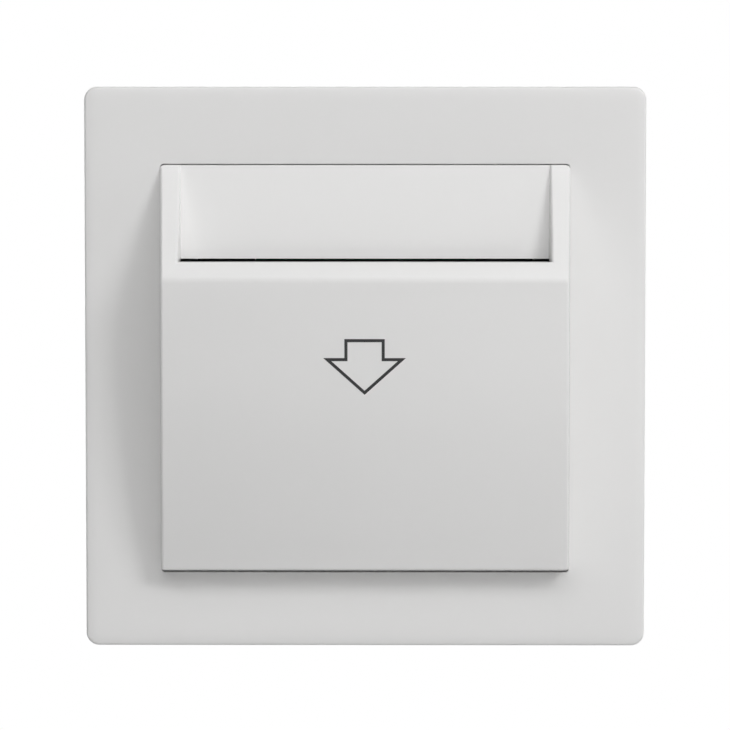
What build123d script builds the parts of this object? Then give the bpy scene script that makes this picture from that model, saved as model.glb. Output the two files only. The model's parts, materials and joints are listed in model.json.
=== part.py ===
from build123d import *
import math
import os

# Key card switch for a square wall box. Millimetres, +Z up, the front faces -Y, +X to the right.
# The origin is the centre of the wall plane, y = 0: the face shows in front of it and the housing
# reaches behind it.

# Shared fits
overrun = 1.0  # how far a cut passes the face that it opens
seat_gap = 0.1  # between fixed pieces that meet
slip_gap = 0.3  # between mouldings that go past each other
pin_fit = 0.04  # radial clearance of a running pin
stand_off = 0.3  # between a component's body and its board

# Surround frame
plate_size = 86.0
frame_depth = 8.0
frame_width = plate_size
frame_height = plate_size
plan_step = plate_size / 86  # one millimetre on the plan of a plate of 86
depth_step = frame_depth / 8  # one millimetre of depth in front of a frame of 8
frame_front_wall = 2.0 * depth_step
frame_side_wall = 2.0 * plan_step
frame_corner_radius = 2.0
frame_edge_radius = 0.45
frame_border_width = 1.8  # over which the front falls away, outer rounding included
frame_border_degrees = 10.0  # its tilt where the outer rounding starts
opening_width = 62.6 * plan_step
opening_height = 62.4 * plan_step
opening_corner_radius = 0.5 * plan_step
opening_edge_radius = 0.1
tongue_width = 8.0 * plan_step
tongue_thickness = 1.4 * plan_step
tongue_from_middle = 20.0 * plan_step
tongue_barb_reach = 0.85 * plan_step
frame_gusset_thickness = 1.2 * plan_step
frame_gusset_from_middle = 30.0 * plan_step

# Front cover
cover_gap = 0.08
cover_foot_gap = 0.5  # below the cover, down to the opening's lower edge
cover_side_lap = 0.12  # how far the sides reach over the frame beside the opening
cover_lap_clearance = 0.03
cover_height = 10.0 * depth_step  # from the frame's face to the bend
cover_bend_drop = 17.19 * plan_step  # from the cover's top edge down to the bend
cover_foot_height = 3.4 * depth_step  # from the frame's face to the front face at its foot
cover_face_crown = 1.45 * depth_step
cover_bend_radius = 2.0
cover_edge_radius = 0.55
cover_wall = 1.8 * plan_step
cover_draft_degrees = 3.0
cover_rear_gap = 0.15
cover_waist_step = 0.06  # the skirt stands in a little, behind the frame's face
recess_width = 56.6 * plan_step
recess_side_draft_degrees = 5.0
recess_top_height = -0.3 * depth_step  # of the ramp's plane at the cover's top edge
recess_end_height = 3.8 * depth_step  # of the ramp's plane at the slot
ramp_wall = 1.6 * depth_step
slot_height = 0.35  # between the ramp's end and the lip's top, measured upright
lip_drop = 14.59 * plan_step  # from the cover's top edge down to the lip's top
lip_edge_radius = 0.4
cheek_edge_radius = 0.45
card_gap = 2.1 * depth_step
card_rib_width = 1.2 * plan_step
card_rib_places = (9.5 * plan_step, 20.5 * plan_step)
card_rib_top_gap = 3.5 * plan_step
card_rib_foot_gap = 2.8 * plan_step
cover_hook_width = 6.0 * plan_step
cover_hook_from_middle = 17.0 * plan_step
cover_hook_thickness = 1.1 * plan_step
cover_hook_inset = 0.3 * plan_step  # from the cover's outer face to the hook
cover_hook_reach = 1.3 * depth_step  # behind the yoke
cover_hook_barb = 0.8 * plan_step

# Card guide and its channel
guide_foot_setback = 6.23 * depth_step  # how far the guide's foot lies behind its top
guide_rail_rise_share = 0.14  # the rails' front ends hang this far below the guide's foot
guide_step = 0.4 * depth_step  # the guide stands back from the ramp's end
guide_top_gap = 0.2
guide_plate = 1.6 * depth_step
guide_rail_height = 4.5 * depth_step
guide_rail_top_gap = 4.0 * plan_step
guide_stop_height = 3.9 * depth_step
guide_stop_thickness = 1.2 * plan_step
guide_base_thickness = 1.6 * depth_step
guide_base_width = 51.6 * plan_step
guide_base_height = 54.4 * plan_step
guide_web_thickness = 1.4 * plan_step
guide_window_width = 11.2 * plan_step
guide_window_from = 19.5 * plan_step  # below the guide's top
guide_window_length = 16.5 * plan_step
guide_boss_radius = 3.0 * plan_step
guide_boss_bore_margin = 0.05

# Card lever, its pin and its spring
lever_pivot_depth = 2.6 * depth_step  # from the frame's face plane back to the pin
lever_pivot_height = 0.8 * plan_step
lever_pin_radius = 0.75 * depth_step
lever_pin_length = 15.0 * plan_step
lever_barrel_radius = 1.8 * depth_step
lever_barrel_share = 0.6
lever_width = 8.8 * plan_step
lever_arm_thickness = 1.4 * depth_step
lever_arm_length = 17.8 * plan_step
lever_arm_forward = 1.0 * depth_step  # from the pivot to the arm's front face
lever_nose_reach = 2.1 * depth_step  # into the card channel
lever_nose_width = 7.2 * plan_step
lever_nose_drop = 16.0 * plan_step  # from the pin down to the nose's tip
lever_nose_lead = 4.6 * plan_step
lever_nose_heel = 1.6 * plan_step
lever_pad_drop = 7.8 * plan_step  # below the pivot, where the pad presses the plunger
lever_pad_width = 3.2 * plan_step
lever_pad_length = 2.0 * plan_step
lever_pad_thickness = 0.6 * depth_step
lug_thickness = 2.0 * plan_step
lug_gap = 0.3
lug_above_pivot = 2.2 * plan_step
lug_below_pivot = 2.2 * plan_step
lug_behind_pivot = 2.2 * depth_step
spring_wire_radius = 0.2 * depth_step
spring_leg_radius_share = 0.94  # the drawn legs are a little thinner than the coil's wire
spring_inner_radius = 1.0 * depth_step
spring_turns = 4
spring_pitch = 0.6 * plan_step
spring_leg_length = 4.2 * depth_step
spring_brace_length = 3.0 * depth_step
spring_seat_width = 1.6 * plan_step
spring_seat_length = 1.8 * depth_step
spring_stop_gap = 0.45 * depth_step  # between the spring's upper leg and the guide's stop
spring_stop_width = 2.4 * plan_step
spring_stop_height = 1.6 * depth_step

# Mounting yoke
yoke_setback = 0.3 * depth_step  # the yoke's back stands in from the wall plane
yoke_width = 76.0 * plan_step
yoke_height = 76.0 * plan_step
yoke_thickness = 2.2 * depth_step
yoke_corner_radius = 3.0
yoke_opening_width = 34.0 * plan_step
yoke_opening_height = 40.0 * plan_step
yoke_opening_corner = 2.0
yoke_rib_width = 1.2 * plan_step
yoke_rib_height = 1.8 * depth_step
yoke_rib_inset = 2.4 * plan_step
fixing_spacing = 60.3 * plan_step
fixing_slot_radius = 2.1
fixing_slot_length = 6.5
fixing_head_radius = 4.2
fixing_head_height = 3.0 * depth_step
catch_depth = 0.8 * plan_step
catch_height = 1.1 * depth_step
catch_side_gap = 0.4

# Assembly screws
screw_from_middle_x = 21.5 * plan_step
screw_from_middle_z = 24.5 * plan_step
screw_radius = 1.45
screw_head_radius = 2.75
screw_head_height = 2.0
screw_bite = 2.7 * depth_step  # into the card guide
screw_recess_radius = 1.3
screw_recess_depth = 1.1
screw_recess_slot = 0.7
screw_hole_radius = 1.6

# Rear housing
housing_width = 51.0 * plan_step
housing_height = 56.0 * plan_step
housing_depth = 24.0
housing_wall = 1.8 * plan_step
housing_flange = 2.2
housing_notch_width = 8.0 * plan_step
housing_notch_height = 7.0 * plan_step
housing_corner_radius = 1.2
board_boss_radius = 2.6 * plan_step
board_boss_from_middle = 20.3 * plan_step
board_boss_bore = 0.95
partition_thickness = 2.0 * plan_step
partition_length = 8.6 * plan_step
wire_entry_radius = 2.5
driver_hole_radius = 3.0
vent_width = 1.2 * plan_step
vent_height = 9.0 * plan_step
vent_count = 5
vent_pitch = 3.2 * plan_step
vent_from_top = 8.0 * plan_step

# Circuit board and its screws
board_thickness = 1.6
board_front = 3.3 * depth_step
board_edge_gap = 0.4
board_screw_radius = 0.9
board_screw_length = 6.0
board_screw_head_radius = 1.9
board_screw_head_height = 1.2
board_hole_gap = 0.15
lead_end = 1.2  # how far a lead shows past the board

# Terminals
terminal_pitch = 11.0 * plan_step
terminal_width = 8.4 * plan_step
terminal_height = 7.0 * plan_step
terminal_front_share = 6.3 / 17.0  # of the room behind the board
terminal_rear_share = 15.3 / 17.0
terminal_bore_radius = 2.0
terminal_bore_depth = 3.1  # from the block's front face to the wire bore's axis
terminal_screw_radius = 1.7
terminal_screw_head_radius = 2.5
terminal_screw_head_height = 1.5
terminal_screw_lift = 0.4
terminal_thread_gap = 0.06
terminal_leg_width = 3.0 * plan_step
terminal_leg_thickness = 0.8 * plan_step
terminal_edge = 0.4

# Microswitch
micro_length = 12.8 * plan_step
micro_width = 5.8 * plan_step
micro_height = 6.4 * depth_step
micro_wall = 0.7 * plan_step
micro_base = 1.0
micro_plunger_offset = 1.6 * plan_step
micro_board_gap = 0.1
plunger_radius = 1.0 * plan_step
plunger_flange_radius = 1.6 * plan_step
plunger_flange_height = 0.5
plunger_tail = 0.3
plunger_tail_radius = 0.6 * plan_step
plunger_lever_gap = 0.06
blade_thickness = 0.2
blade_width = 2.6 * plan_step
blade_reach = 9.5 * plan_step  # from the blade's pivot to its tip
blade_contact_radius = 0.6 * plan_step
blade_contact_height = 0.35
micro_pin_width = 0.9 * plan_step
micro_pin_thickness = 0.5 * plan_step
micro_pin_pitch = 5.08 * plan_step
micro_contact_gap = 1.45

# Relay
relay_length = 22.5 * plan_step
relay_width = 15.6 * plan_step
relay_height_share = 16.3 / 17.0  # of the room behind the board
relay_centre_x = -7.0 * plan_step
relay_centre_z = 10.9 * plan_step
relay_wall = 0.8
relay_base_thickness = 1.5
relay_core_offset = -2.0 * plan_step
relay_core_radius = 2.0 * plan_step
relay_head_radius = 3.2 * plan_step
relay_head_height = 0.8
relay_steel = 1.2
relay_steel_width = 9.0 * plan_step
relay_frame_reach = 7.1 * plan_step  # from the core's axis to the frame's outer face
relay_frame_toe = 3.5 * plan_step
bobbin_tube = 0.65 * plan_step
bobbin_flange = 0.8
bobbin_flange_width = 10.6 * plan_step
bobbin_margin = 8.1  # what the relay is higher than its bobbin
winding_radius = 5.0 * plan_step
armature_thickness = 1.0
armature_reach = 4.6 * plan_step
armature_open_degrees = 4.5
armature_gap = 0.05
contact_blade_thickness = 0.25
contact_blade_width = 5.0 * plan_step
contact_blade_start = 5.0 * plan_step
contact_blade_reach = 11.6 * plan_step
contact_place = 10.4 * plan_step
contact_radius = 1.4 * plan_step
contact_height = 0.7
contact_rivet_height = 0.3
contact_strip = 0.5
contact_strip_width = 4.0 * plan_step
return_spring_thickness = 0.25
return_spring_width = 3.0 * plan_step
return_spring_offset = 0.5
return_spring_foot = 2.0
return_spring_share = 7.0 / 8.2  # of the bobbin's height
coil_pin_radius = 0.4 * plan_step
coil_pin_side = 6.1 * plan_step
coil_pin_offset = 3.0 * plan_step
coil_pin_rise = 3.2

# Electronic components behind the board: places are (x, z) on the board
lead_radius = 0.3
smoothing_radius = 5.0 * plan_step
smoothing_height_share = 12.5 / 17.0
smoothing_place = (10.5 * plan_step, 10.5 * plan_step)
smoothing_pin_pitch = 5.0 * plan_step
can_edge_radius = 0.6
can_groove_height = 1.6
can_groove_depth = 0.35
timing_radius = 3.15 * plan_step
timing_height_share = 11.0 / 17.0
timing_place = (19.4 * plan_step, 11.0 * plan_step)
timing_pin_pitch = 2.5 * plan_step
dropper_length = 18.0 * plan_step
dropper_width = 6.0 * plan_step
dropper_height_share = 12.0 / 17.0
dropper_place = (0.0 * plan_step, 22.5 * plan_step)
dropper_pin_pitch = 15.0 * plan_step
box_edge = 0.5
varistor_radius = 5.0 * plan_step
varistor_thickness = 3.6 * plan_step
varistor_place = (-5.0 * plan_step, -10.6 * plan_step)
varistor_pin_pitch = 7.5 * plan_step
varistor_rise = 1.0
fuse_radius = 4.2 * plan_step
fuse_height = 7.6
fuse_place = (-16.5 * plan_step, -9.0 * plan_step)
fuse_pin_pitch = 5.08 * plan_step
bridge_length = 8.4 * plan_step
bridge_width = 6.4 * plan_step
bridge_height = 3.2
bridge_place = (5.5 * plan_step, -14.0 * plan_step)
bridge_pin_pitch = 5.08 * plan_step
bridge_row_spacing = 6.0 * plan_step
chip_length = 9.6 * plan_step
chip_width = 6.4 * plan_step
chip_height = 3.4
chip_place = (9.5 * plan_step, -2.0 * plan_step)
chip_pin_pitch = 2.54 * plan_step
chip_row_spacing = 7.62 * plan_step
chip_pins_in_row = 4
chip_notch_radius = 0.8 * plan_step
leg_width = 0.5 * plan_step
leg_thickness = 0.25
leg_shoulder = 1.6
transistor_radius = 2.3 * plan_step
transistor_height = 4.6
transistor_flat = 1.2 * plan_step
transistor_place = (-9.5 * plan_step, -15.6 * plan_step)
transistor_pin_pitch = 1.27 * plan_step
transistor_rise = 2.0
resistor_radius = 1.2
resistor_waist_radius = 1.0
resistor_length = 6.3 * plan_step
resistor_span = 10.0 * plan_step
resistor_places = [(16.6 * plan_step, z * plan_step) for z in (-7.6, -11.0, -14.4)]
resistor_cap_length = 1.3 * plan_step
diode_radius = 1.3
diode_length = 5.0 * plan_step
diode_span = 10.0 * plan_step
diode_place = (-6.0 * plan_step, 0.2 * plan_step)
zener_radius = 0.95
zener_length = 4.0 * plan_step
zener_span = 7.6 * plan_step
zener_place = (-6.0 * plan_step, -3.2 * plan_step)

# Planes and edges that follow from the sizes
frame_front = -frame_depth
frame_inner = frame_front + frame_front_wall
yoke_back = -yoke_setback
yoke_front = yoke_back - yoke_thickness
catch_ledge = yoke_back - catch_height
cover_top = opening_height / 2 - cover_gap
cover_half_width = opening_width / 2 - cover_gap
cover_rear = yoke_front - cover_rear_gap
cover_waist = frame_front - cover_lap_clearance  # behind it the cover is a straight skirt
cover_slope = math.tan(math.radians(cover_draft_degrees))
bend_z = cover_top - cover_bend_drop
lip_top_z = cover_top - lip_drop
ramp_end_z = lip_top_z + slot_height
ramp_slope = (recess_end_height - recess_top_height) / (cover_top - ramp_end_z)
cheek_slope = cover_height / cover_bend_drop
cover_foot_z = -cover_top + cover_foot_height * cover_slope
cover_front_limit = frame_front - cover_height - overrun
guide_top_y = frame_front - recess_end_height + guide_step
guide_top_z = lip_top_z - guide_top_gap
guide_rail_rise = guide_rail_height * guide_rail_rise_share
guide_foot_z = -cover_top + cover_wall + 2 * slip_gap + guide_rail_rise
guide_tilt = math.atan2(guide_foot_setback, guide_top_z - guide_foot_z)
guide_length = (guide_top_z - guide_foot_z) / math.cos(guide_tilt)
guide_base_front = yoke_front - guide_base_thickness
pivot_y = frame_front + lever_pivot_depth
pivot_z = lever_pivot_height
arm_front = pivot_y - lever_arm_forward
arm_rear = arm_front + lever_arm_thickness
plunger_z = pivot_z - lever_pad_drop
barrel_end = -lever_width / 2 + lever_width * lever_barrel_share
spring_mean = spring_inner_radius + spring_wire_radius
spring_low_x = barrel_end + spring_wire_radius + seat_gap
spring_leg_y = pivot_y + spring_mean
pad_rear = arm_rear + lever_pad_thickness
plunger_tip = pad_rear + plunger_lever_gap
board_rear = board_front + board_thickness
component_seat = board_rear + stand_off
flange_rear = yoke_back + housing_flange
screw_tip = yoke_front - screw_bite
housing_floor = housing_depth - housing_wall
room = housing_floor - component_seat
lead_front = board_front - lead_end
terminal_z_low = -housing_height / 2 + housing_wall + slip_gap
terminal_z_middle = terminal_z_low + terminal_height / 2
terminal_front = component_seat + room * terminal_front_share
terminal_rear = component_seat + room * terminal_rear_share
wire_axis_y = terminal_front + terminal_bore_depth
micro_rear = board_front - micro_board_gap
micro_front = micro_rear - micro_height
blade_pivot_x = -micro_plunger_offset - micro_pin_pitch
micro_low_x = -micro_length / 2 - micro_plunger_offset
plunger_end = micro_front + micro_wall + seat_gap / 2 + plunger_flange_height + plunger_tail
blade_front = plunger_end + seat_gap / 2
relay_height = room * relay_height_share
relay_top = component_seat + relay_height
relay_base_top = component_seat + relay_base_thickness
core_x = relay_centre_x + relay_core_offset
steel_low = relay_base_top + seat_gap
steel_high = steel_low + relay_steel
bobbin_low = steel_high + seat_gap
bobbin_height = relay_height - bobbin_margin
bobbin_high = bobbin_low + bobbin_height
head_low = bobbin_high + seat_gap
pole_face = head_low + relay_head_height
armature_low = pole_face + armature_gap
armature_high = armature_low + armature_thickness
hinge_x = core_x - relay_frame_reach
hinge_y = (pole_face + armature_low) / 2


def slab(x_low, x_high, y_low, y_high, z_low, z_high):
    """Box between its limits."""
    middle = Pos((x_low + x_high) / 2, (y_low + y_high) / 2, (z_low + z_high) / 2)
    return middle * Box(x_high - x_low, y_high - y_low, z_high - z_low)


def rod_x(radius, x_low, x_high, y, z):
    """Cylinder along X."""
    return Pos((x_low + x_high) / 2, y, z) * Rot(0, 90, 0) * Cylinder(radius, x_high - x_low)


def rod_y(radius, y_low, y_high, x, z):
    """Cylinder along Y."""
    return Pos(x, (y_low + y_high) / 2, z) * Rot(90, 0, 0) * Cylinder(radius, y_high - y_low)


def rod_z(radius, z_low, z_high, x, y):
    """Cylinder along Z."""
    return Pos(x, y, (z_low + z_high) / 2) * Cylinder(radius, z_high - z_low)


def side_prism(points, half_width):
    """Polygon of (y, z) points, extruded both ways along X."""
    outline = make_face(Polyline(*points, close=True))
    return extrude(Plane.YZ * outline, amount=half_width, both=True)


def plan_prism(points, z_low, z_high):
    """Polygon of (x, y) points, extruded along Z."""
    outline = make_face(Polyline(*points, close=True))
    return Pos(0, 0, z_low) * extrude(outline, amount=z_high - z_low)


def mirrored_x(part):
    """The part and its mirror image across the middle plane."""
    return part + mirror(part, about=Plane.YZ)


def each_corner(x, z):
    """The four places (±x, ±z)."""
    return [(sx * x, sz * z) for sx in (-1, 1) for sz in (-1, 1)]


def cheek_y(z):
    """Plane of the cheeks and the lip."""
    return frame_front - (cover_top - z) * cheek_slope


def ramp_y(z):
    """Plane of the recess that leads the card to the slot."""
    return frame_front - recess_top_height - (cover_top - z) * ramp_slope


def guide_y(z):
    """Front face of the card guide."""
    return guide_top_y + (guide_top_z - z) * math.tan(guide_tilt)


def guide_middle_y(z):
    """Middle of the card guide's plate."""
    return guide_y(z) + guide_plate / 2 / math.cos(guide_tilt)


def cover_half_width_at(y):
    """Half width of the cover, which narrows towards the front."""
    return cover_half_width + (y - frame_front) * cover_slope


def frame_border_profile(half):
    """Section of what lies outside the frame's border, whose edge is this far from the middle."""
    tilt = math.radians(frame_border_degrees)
    border_radius = (frame_border_width - frame_edge_radius) / math.sin(tilt) + frame_edge_radius
    inner = (frame_front, half - frame_border_width)
    crest = (
        inner[0] + border_radius * (1 - math.cos(tilt)),
        inner[1] + border_radius * math.sin(tilt),
    )
    edge = (crest[0] + frame_edge_radius * math.cos(tilt), half)
    border = TangentArc(inner, crest, tangent=(0, 1))
    rounding = TangentArc(crest, edge, tangent=(math.sin(tilt), math.cos(tilt)))
    outside = Polyline(
        edge,
        (edge[0], half + overrun),
        (frame_front - overrun, half + overrun),
        (frame_front - overrun, inner[1]),
        inner,
    )
    return Plane.YZ * make_face(border + rounding + outside)


def frame_border_cutters():
    """Solids that give the frame its falling border, along the four sides and round the corners."""
    reach_x = frame_width / 2 - frame_corner_radius
    reach_z = frame_height / 2 - frame_corner_radius
    top = extrude(frame_border_profile(frame_height / 2), amount=reach_x, both=True)
    side = Rot(0, 90, 0) * extrude(
        frame_border_profile(frame_width / 2), amount=reach_z, both=True
    )
    quarter = revolve(frame_border_profile(frame_corner_radius), Axis.Y, 90)
    corners = mirrored_x(Pos(reach_x, 0, reach_z) * quarter)
    lower = [mirror(top, Plane.XY), mirror(corners, Plane.XY)]
    return [top, mirrored_x(side), corners] + lower


def surround_frame():
    """Square frame with the opening for the cover and four snap tongues."""
    face = RectangleRounded(frame_width, frame_height, frame_corner_radius)
    body = extrude(Plane.XZ * face, amount=frame_depth)
    for cutter in frame_border_cutters():
        body -= cutter
    inner_x = frame_width / 2 - frame_side_wall
    inner_z = frame_height / 2 - frame_side_wall
    body -= slab(-inner_x, inner_x, frame_inner, overrun, -inner_z, inner_z)
    drop = cover_foot_gap - cover_gap
    hole = RectangleRounded(opening_width, opening_height + drop, opening_corner_radius)
    body -= Pos(0, frame_inner + overrun, -drop / 2) * extrude(
        Plane.XZ * hole, amount=frame_front_wall + 2 * overrun
    )
    rim = body.edges().filter_by(
        lambda edge: edge.center().Y < frame_front + seat_gap / 2
        and abs(edge.center().X) < opening_width / 2 + seat_gap
        and abs(edge.center().Z) < opening_height / 2 + drop + seat_gap
    )
    body = fillet(rim, opening_edge_radius)
    tongue_in = yoke_width / 2 + slip_gap
    barb_end = tongue_in - tongue_barb_reach
    for side in (-1, 1):
        z = side * tongue_from_middle
        low = z - tongue_width / 2
        high = z + tongue_width / 2
        tongue = slab(
            tongue_in, tongue_in + tongue_thickness, frame_inner - seat_gap, -seat_gap, low, high
        )
        barb_front = catch_ledge + seat_gap
        barb = plan_prism(
            [
                (tongue_in + seat_gap, barb_front),
                (barb_end, barb_front),
                (barb_end, (barb_front - seat_gap) / 2),
                (tongue_in, -seat_gap),
                (tongue_in + seat_gap, -seat_gap),
            ],
            low,
            high,
        )
        body += mirrored_x(tongue + barb)
        gusset_z = side * frame_gusset_from_middle
        gusset = slab(
            yoke_width / 2 + slip_gap,
            inner_x + seat_gap,
            frame_inner - seat_gap,
            yoke_front,
            gusset_z - frame_gusset_thickness / 2,
            gusset_z + frame_gusset_thickness / 2,
        )
        body += mirrored_x(gusset)
    return body


def cover_outline(rear):
    """Side profile of the cover from its rear edge to the bend and the foot."""
    top = (frame_front, cover_top)
    bend = (frame_front - cover_height, bend_z)
    foot = (frame_front - cover_foot_height, cover_foot_z)
    rear_low = (rear, -cover_top - (rear - frame_front) * cover_slope)
    rear_top = (rear, cover_top)
    chord = math.hypot(bend[0] - foot[0], bend[1] - foot[1])
    normal = ((foot[1] - bend[1]) / chord, (bend[0] - foot[0]) / chord)
    middle = (
        (bend[0] + foot[0]) / 2 + normal[0] * cover_face_crown,
        (bend[1] + foot[1]) / 2 + normal[1] * cover_face_crown,
    )
    edges = Polyline(foot, rear_low, rear_top, top, bend)
    edges += ThreePointArc(bend, middle, foot)
    face = make_face(edges)
    corner = face.vertices().sort_by(lambda v: math.hypot(v.X - bend[0], v.Y - bend[1]))[0]
    return fillet(corner, cover_bend_radius)


def cover_width_prism(inset):
    """Prism whose sides narrow towards the front, inset from the cover's sides."""
    rear = cover_rear + cover_wall + overrun
    rear_half = cover_half_width_at(rear) - inset
    front_half = cover_half_width_at(cover_front_limit) - inset
    return plan_prism(
        [
            (-rear_half, rear),
            (rear_half, rear),
            (front_half, cover_front_limit),
            (-front_half, cover_front_limit),
        ],
        -opening_height,
        opening_height,
    )


def rounded(before, corner, after, radius):
    """Arc that rounds a corner between two straight edges."""
    corner = Vector(*corner)
    back = (Vector(*before) - corner).normalized()
    ahead = (Vector(*after) - corner).normalized()
    half_angle = math.radians(back.get_angle(ahead)) / 2
    reach = radius / math.tan(half_angle)
    bow = (back + ahead).normalized() * (radius / math.sin(half_angle) - radius)
    return ThreePointArc(corner + back * reach, corner + bow, corner + ahead * reach)


def recess_cutter():
    """Room of the recess: above the lip, in front of the ramp, between the rounded cheeks."""
    cheek = Vector(0, -cheek_slope, -1).normalized()
    lip = Vector(0, cheek_y(lip_top_z), lip_top_z)
    low = lip + cheek * cover_height
    front = 2 * cover_front_limit
    back_low = (ramp_y(lip_top_z), lip_top_z)
    edge = rounded(back_low, (lip.Y, lip.Z), (low.Y, low.Z), lip_edge_radius)
    side = Polyline(
        edge @ 1,
        (low.Y, low.Z),
        (front, low.Z),
        (front, opening_height),
        (ramp_y(opening_height), opening_height),
        back_low,
        edge @ 0,
    )
    room = extrude(Plane.YZ * make_face(edge + side), amount=opening_width, both=True)

    half = recess_width / 2
    deep = cover_height
    deep_half = half - deep * math.tan(math.radians(recess_side_draft_degrees))
    far = opening_width
    right = rounded((deep_half, -deep), (half, 0), (far, 0), cheek_edge_radius)
    left = rounded((-far, 0), (-half, 0), (-deep_half, -deep), cheek_edge_radius)
    top = Polyline(right @ 1, (far, 0), (far, deep), (-far, deep), (-far, 0), left @ 0)
    floor = Polyline(left @ 1, (-deep_half, -deep), (deep_half, -deep), right @ 0)
    along = Plane(origin=lip, x_dir=(1, 0, 0), z_dir=cheek)
    across = along * make_face(right + top + left + floor)
    return room & extrude(across, amount=2 * opening_height, both=True)


def front_cover():
    """Wedge-shaped cover with recess, slot, lip, card ribs and snap hooks."""
    outer = extrude(Plane.YZ * cover_outline(cover_rear), amount=opening_width, both=True)
    body = outer & cover_width_prism(-cover_gap - cover_side_lap)
    keep = []
    for edge in body.edges():
        centre = edge.center()
        along_x = abs(edge.tangent_at(0.5).X) > math.sqrt(0.5)
        at_end = centre.Z > cover_top - seat_gap or centre.Z < cover_foot_z + seat_gap
        if centre.Y < cover_rear - seat_gap and (at_end or not along_x):
            keep.append(edge)
    body = fillet(keep, cover_edge_radius)
    body -= slab(
        -opening_width, opening_width, cover_waist, overrun, -opening_height, opening_height
    )
    skirt = RectangleRounded(
        2 * (cover_half_width - cover_waist_step),
        2 * (cover_top - cover_waist_step),
        cover_edge_radius,
    )
    skirt_depth = cover_rear - cover_waist + cover_waist_step
    body += Pos(0, cover_rear, 0) * extrude(Plane.XZ * skirt, amount=skirt_depth)

    body -= recess_cutter()

    core_face = offset(
        cover_outline(cover_rear + cover_wall + overrun), -cover_wall, kind=Kind.INTERSECTION
    )
    core = extrude(Plane.YZ * core_face, amount=opening_width, both=True)
    core &= cover_width_prism(cover_wall)
    kept = side_prism(
        [
            (ramp_y(lip_top_z) + ramp_wall, lip_top_z),
            (ramp_y(opening_height) + ramp_wall, opening_height),
            (cover_front_limit, opening_height),
            (cover_front_limit, lip_top_z),
        ],
        opening_width,
    )
    body -= core - kept
    slot_front = cheek_y(lip_top_z) + cover_wall / math.cos(math.atan(cheek_slope))
    depth = (slot_front - cheek_y(lip_top_z)) / math.cos(math.atan(cheek_slope))
    slot_half = recess_width / 2 - depth * math.tan(math.radians(recess_side_draft_degrees))
    body -= slab(
        -slot_half, slot_half, slot_front, cover_rear, lip_top_z - seat_gap, ramp_end_z
    )

    for place in card_rib_places:
        body += mirrored_x(card_rib(place, core))
    for x, z in each_corner(cover_hook_from_middle, cover_top):
        body += cover_hook(x, math.copysign(1, z))
    notch_z = fixing_head_radius + slip_gap
    notch = slab(
        cover_half_width - 2 * cover_wall,
        cover_half_width + 2 * cover_wall,
        yoke_front - fixing_head_height - slip_gap,
        overrun,
        -notch_z,
        notch_z,
    )
    body -= mirrored_x(notch)
    return body


def card_rib(place, core):
    """Rib behind the front face that keeps the card against the guide."""
    high = bend_z - card_rib_top_gap + cover_bend_radius
    low = -cover_top + cover_wall + card_rib_foot_gap
    crest = card_gap / math.cos(guide_tilt)
    rib = side_prism(
        [
            (guide_y(low) - crest, low),
            (guide_y(high) - crest, high),
            (cover_front_limit, high),
            (cover_front_limit, low),
        ],
        card_rib_width / 2,
    )
    grown = core + Pos(0, -cover_wall / 4, 0) * core
    return (Pos(place, 0, 0) * rib) & grown


def cover_hook(x, up):
    """Snap hook on the top (up = 1) or bottom (up = -1) wall of the cover."""
    outer = cover_top - cover_hook_inset
    inner = outer - cover_hook_thickness
    root = cover_rear - cover_wall
    tip = outer + cover_hook_barb
    catch = yoke_back + seat_gap
    end = yoke_back + cover_hook_reach
    outline = [
        (root, inner),
        (end, inner),
        (end, outer),
        ((catch + end) / 2, tip),
        (catch, tip),
        (catch, outer),
        (root, outer),
    ]
    points = [(y, up * z) for y, z in outline]
    return Pos(x, 0, 0) * side_prism(points, cover_hook_width / 2)


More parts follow.
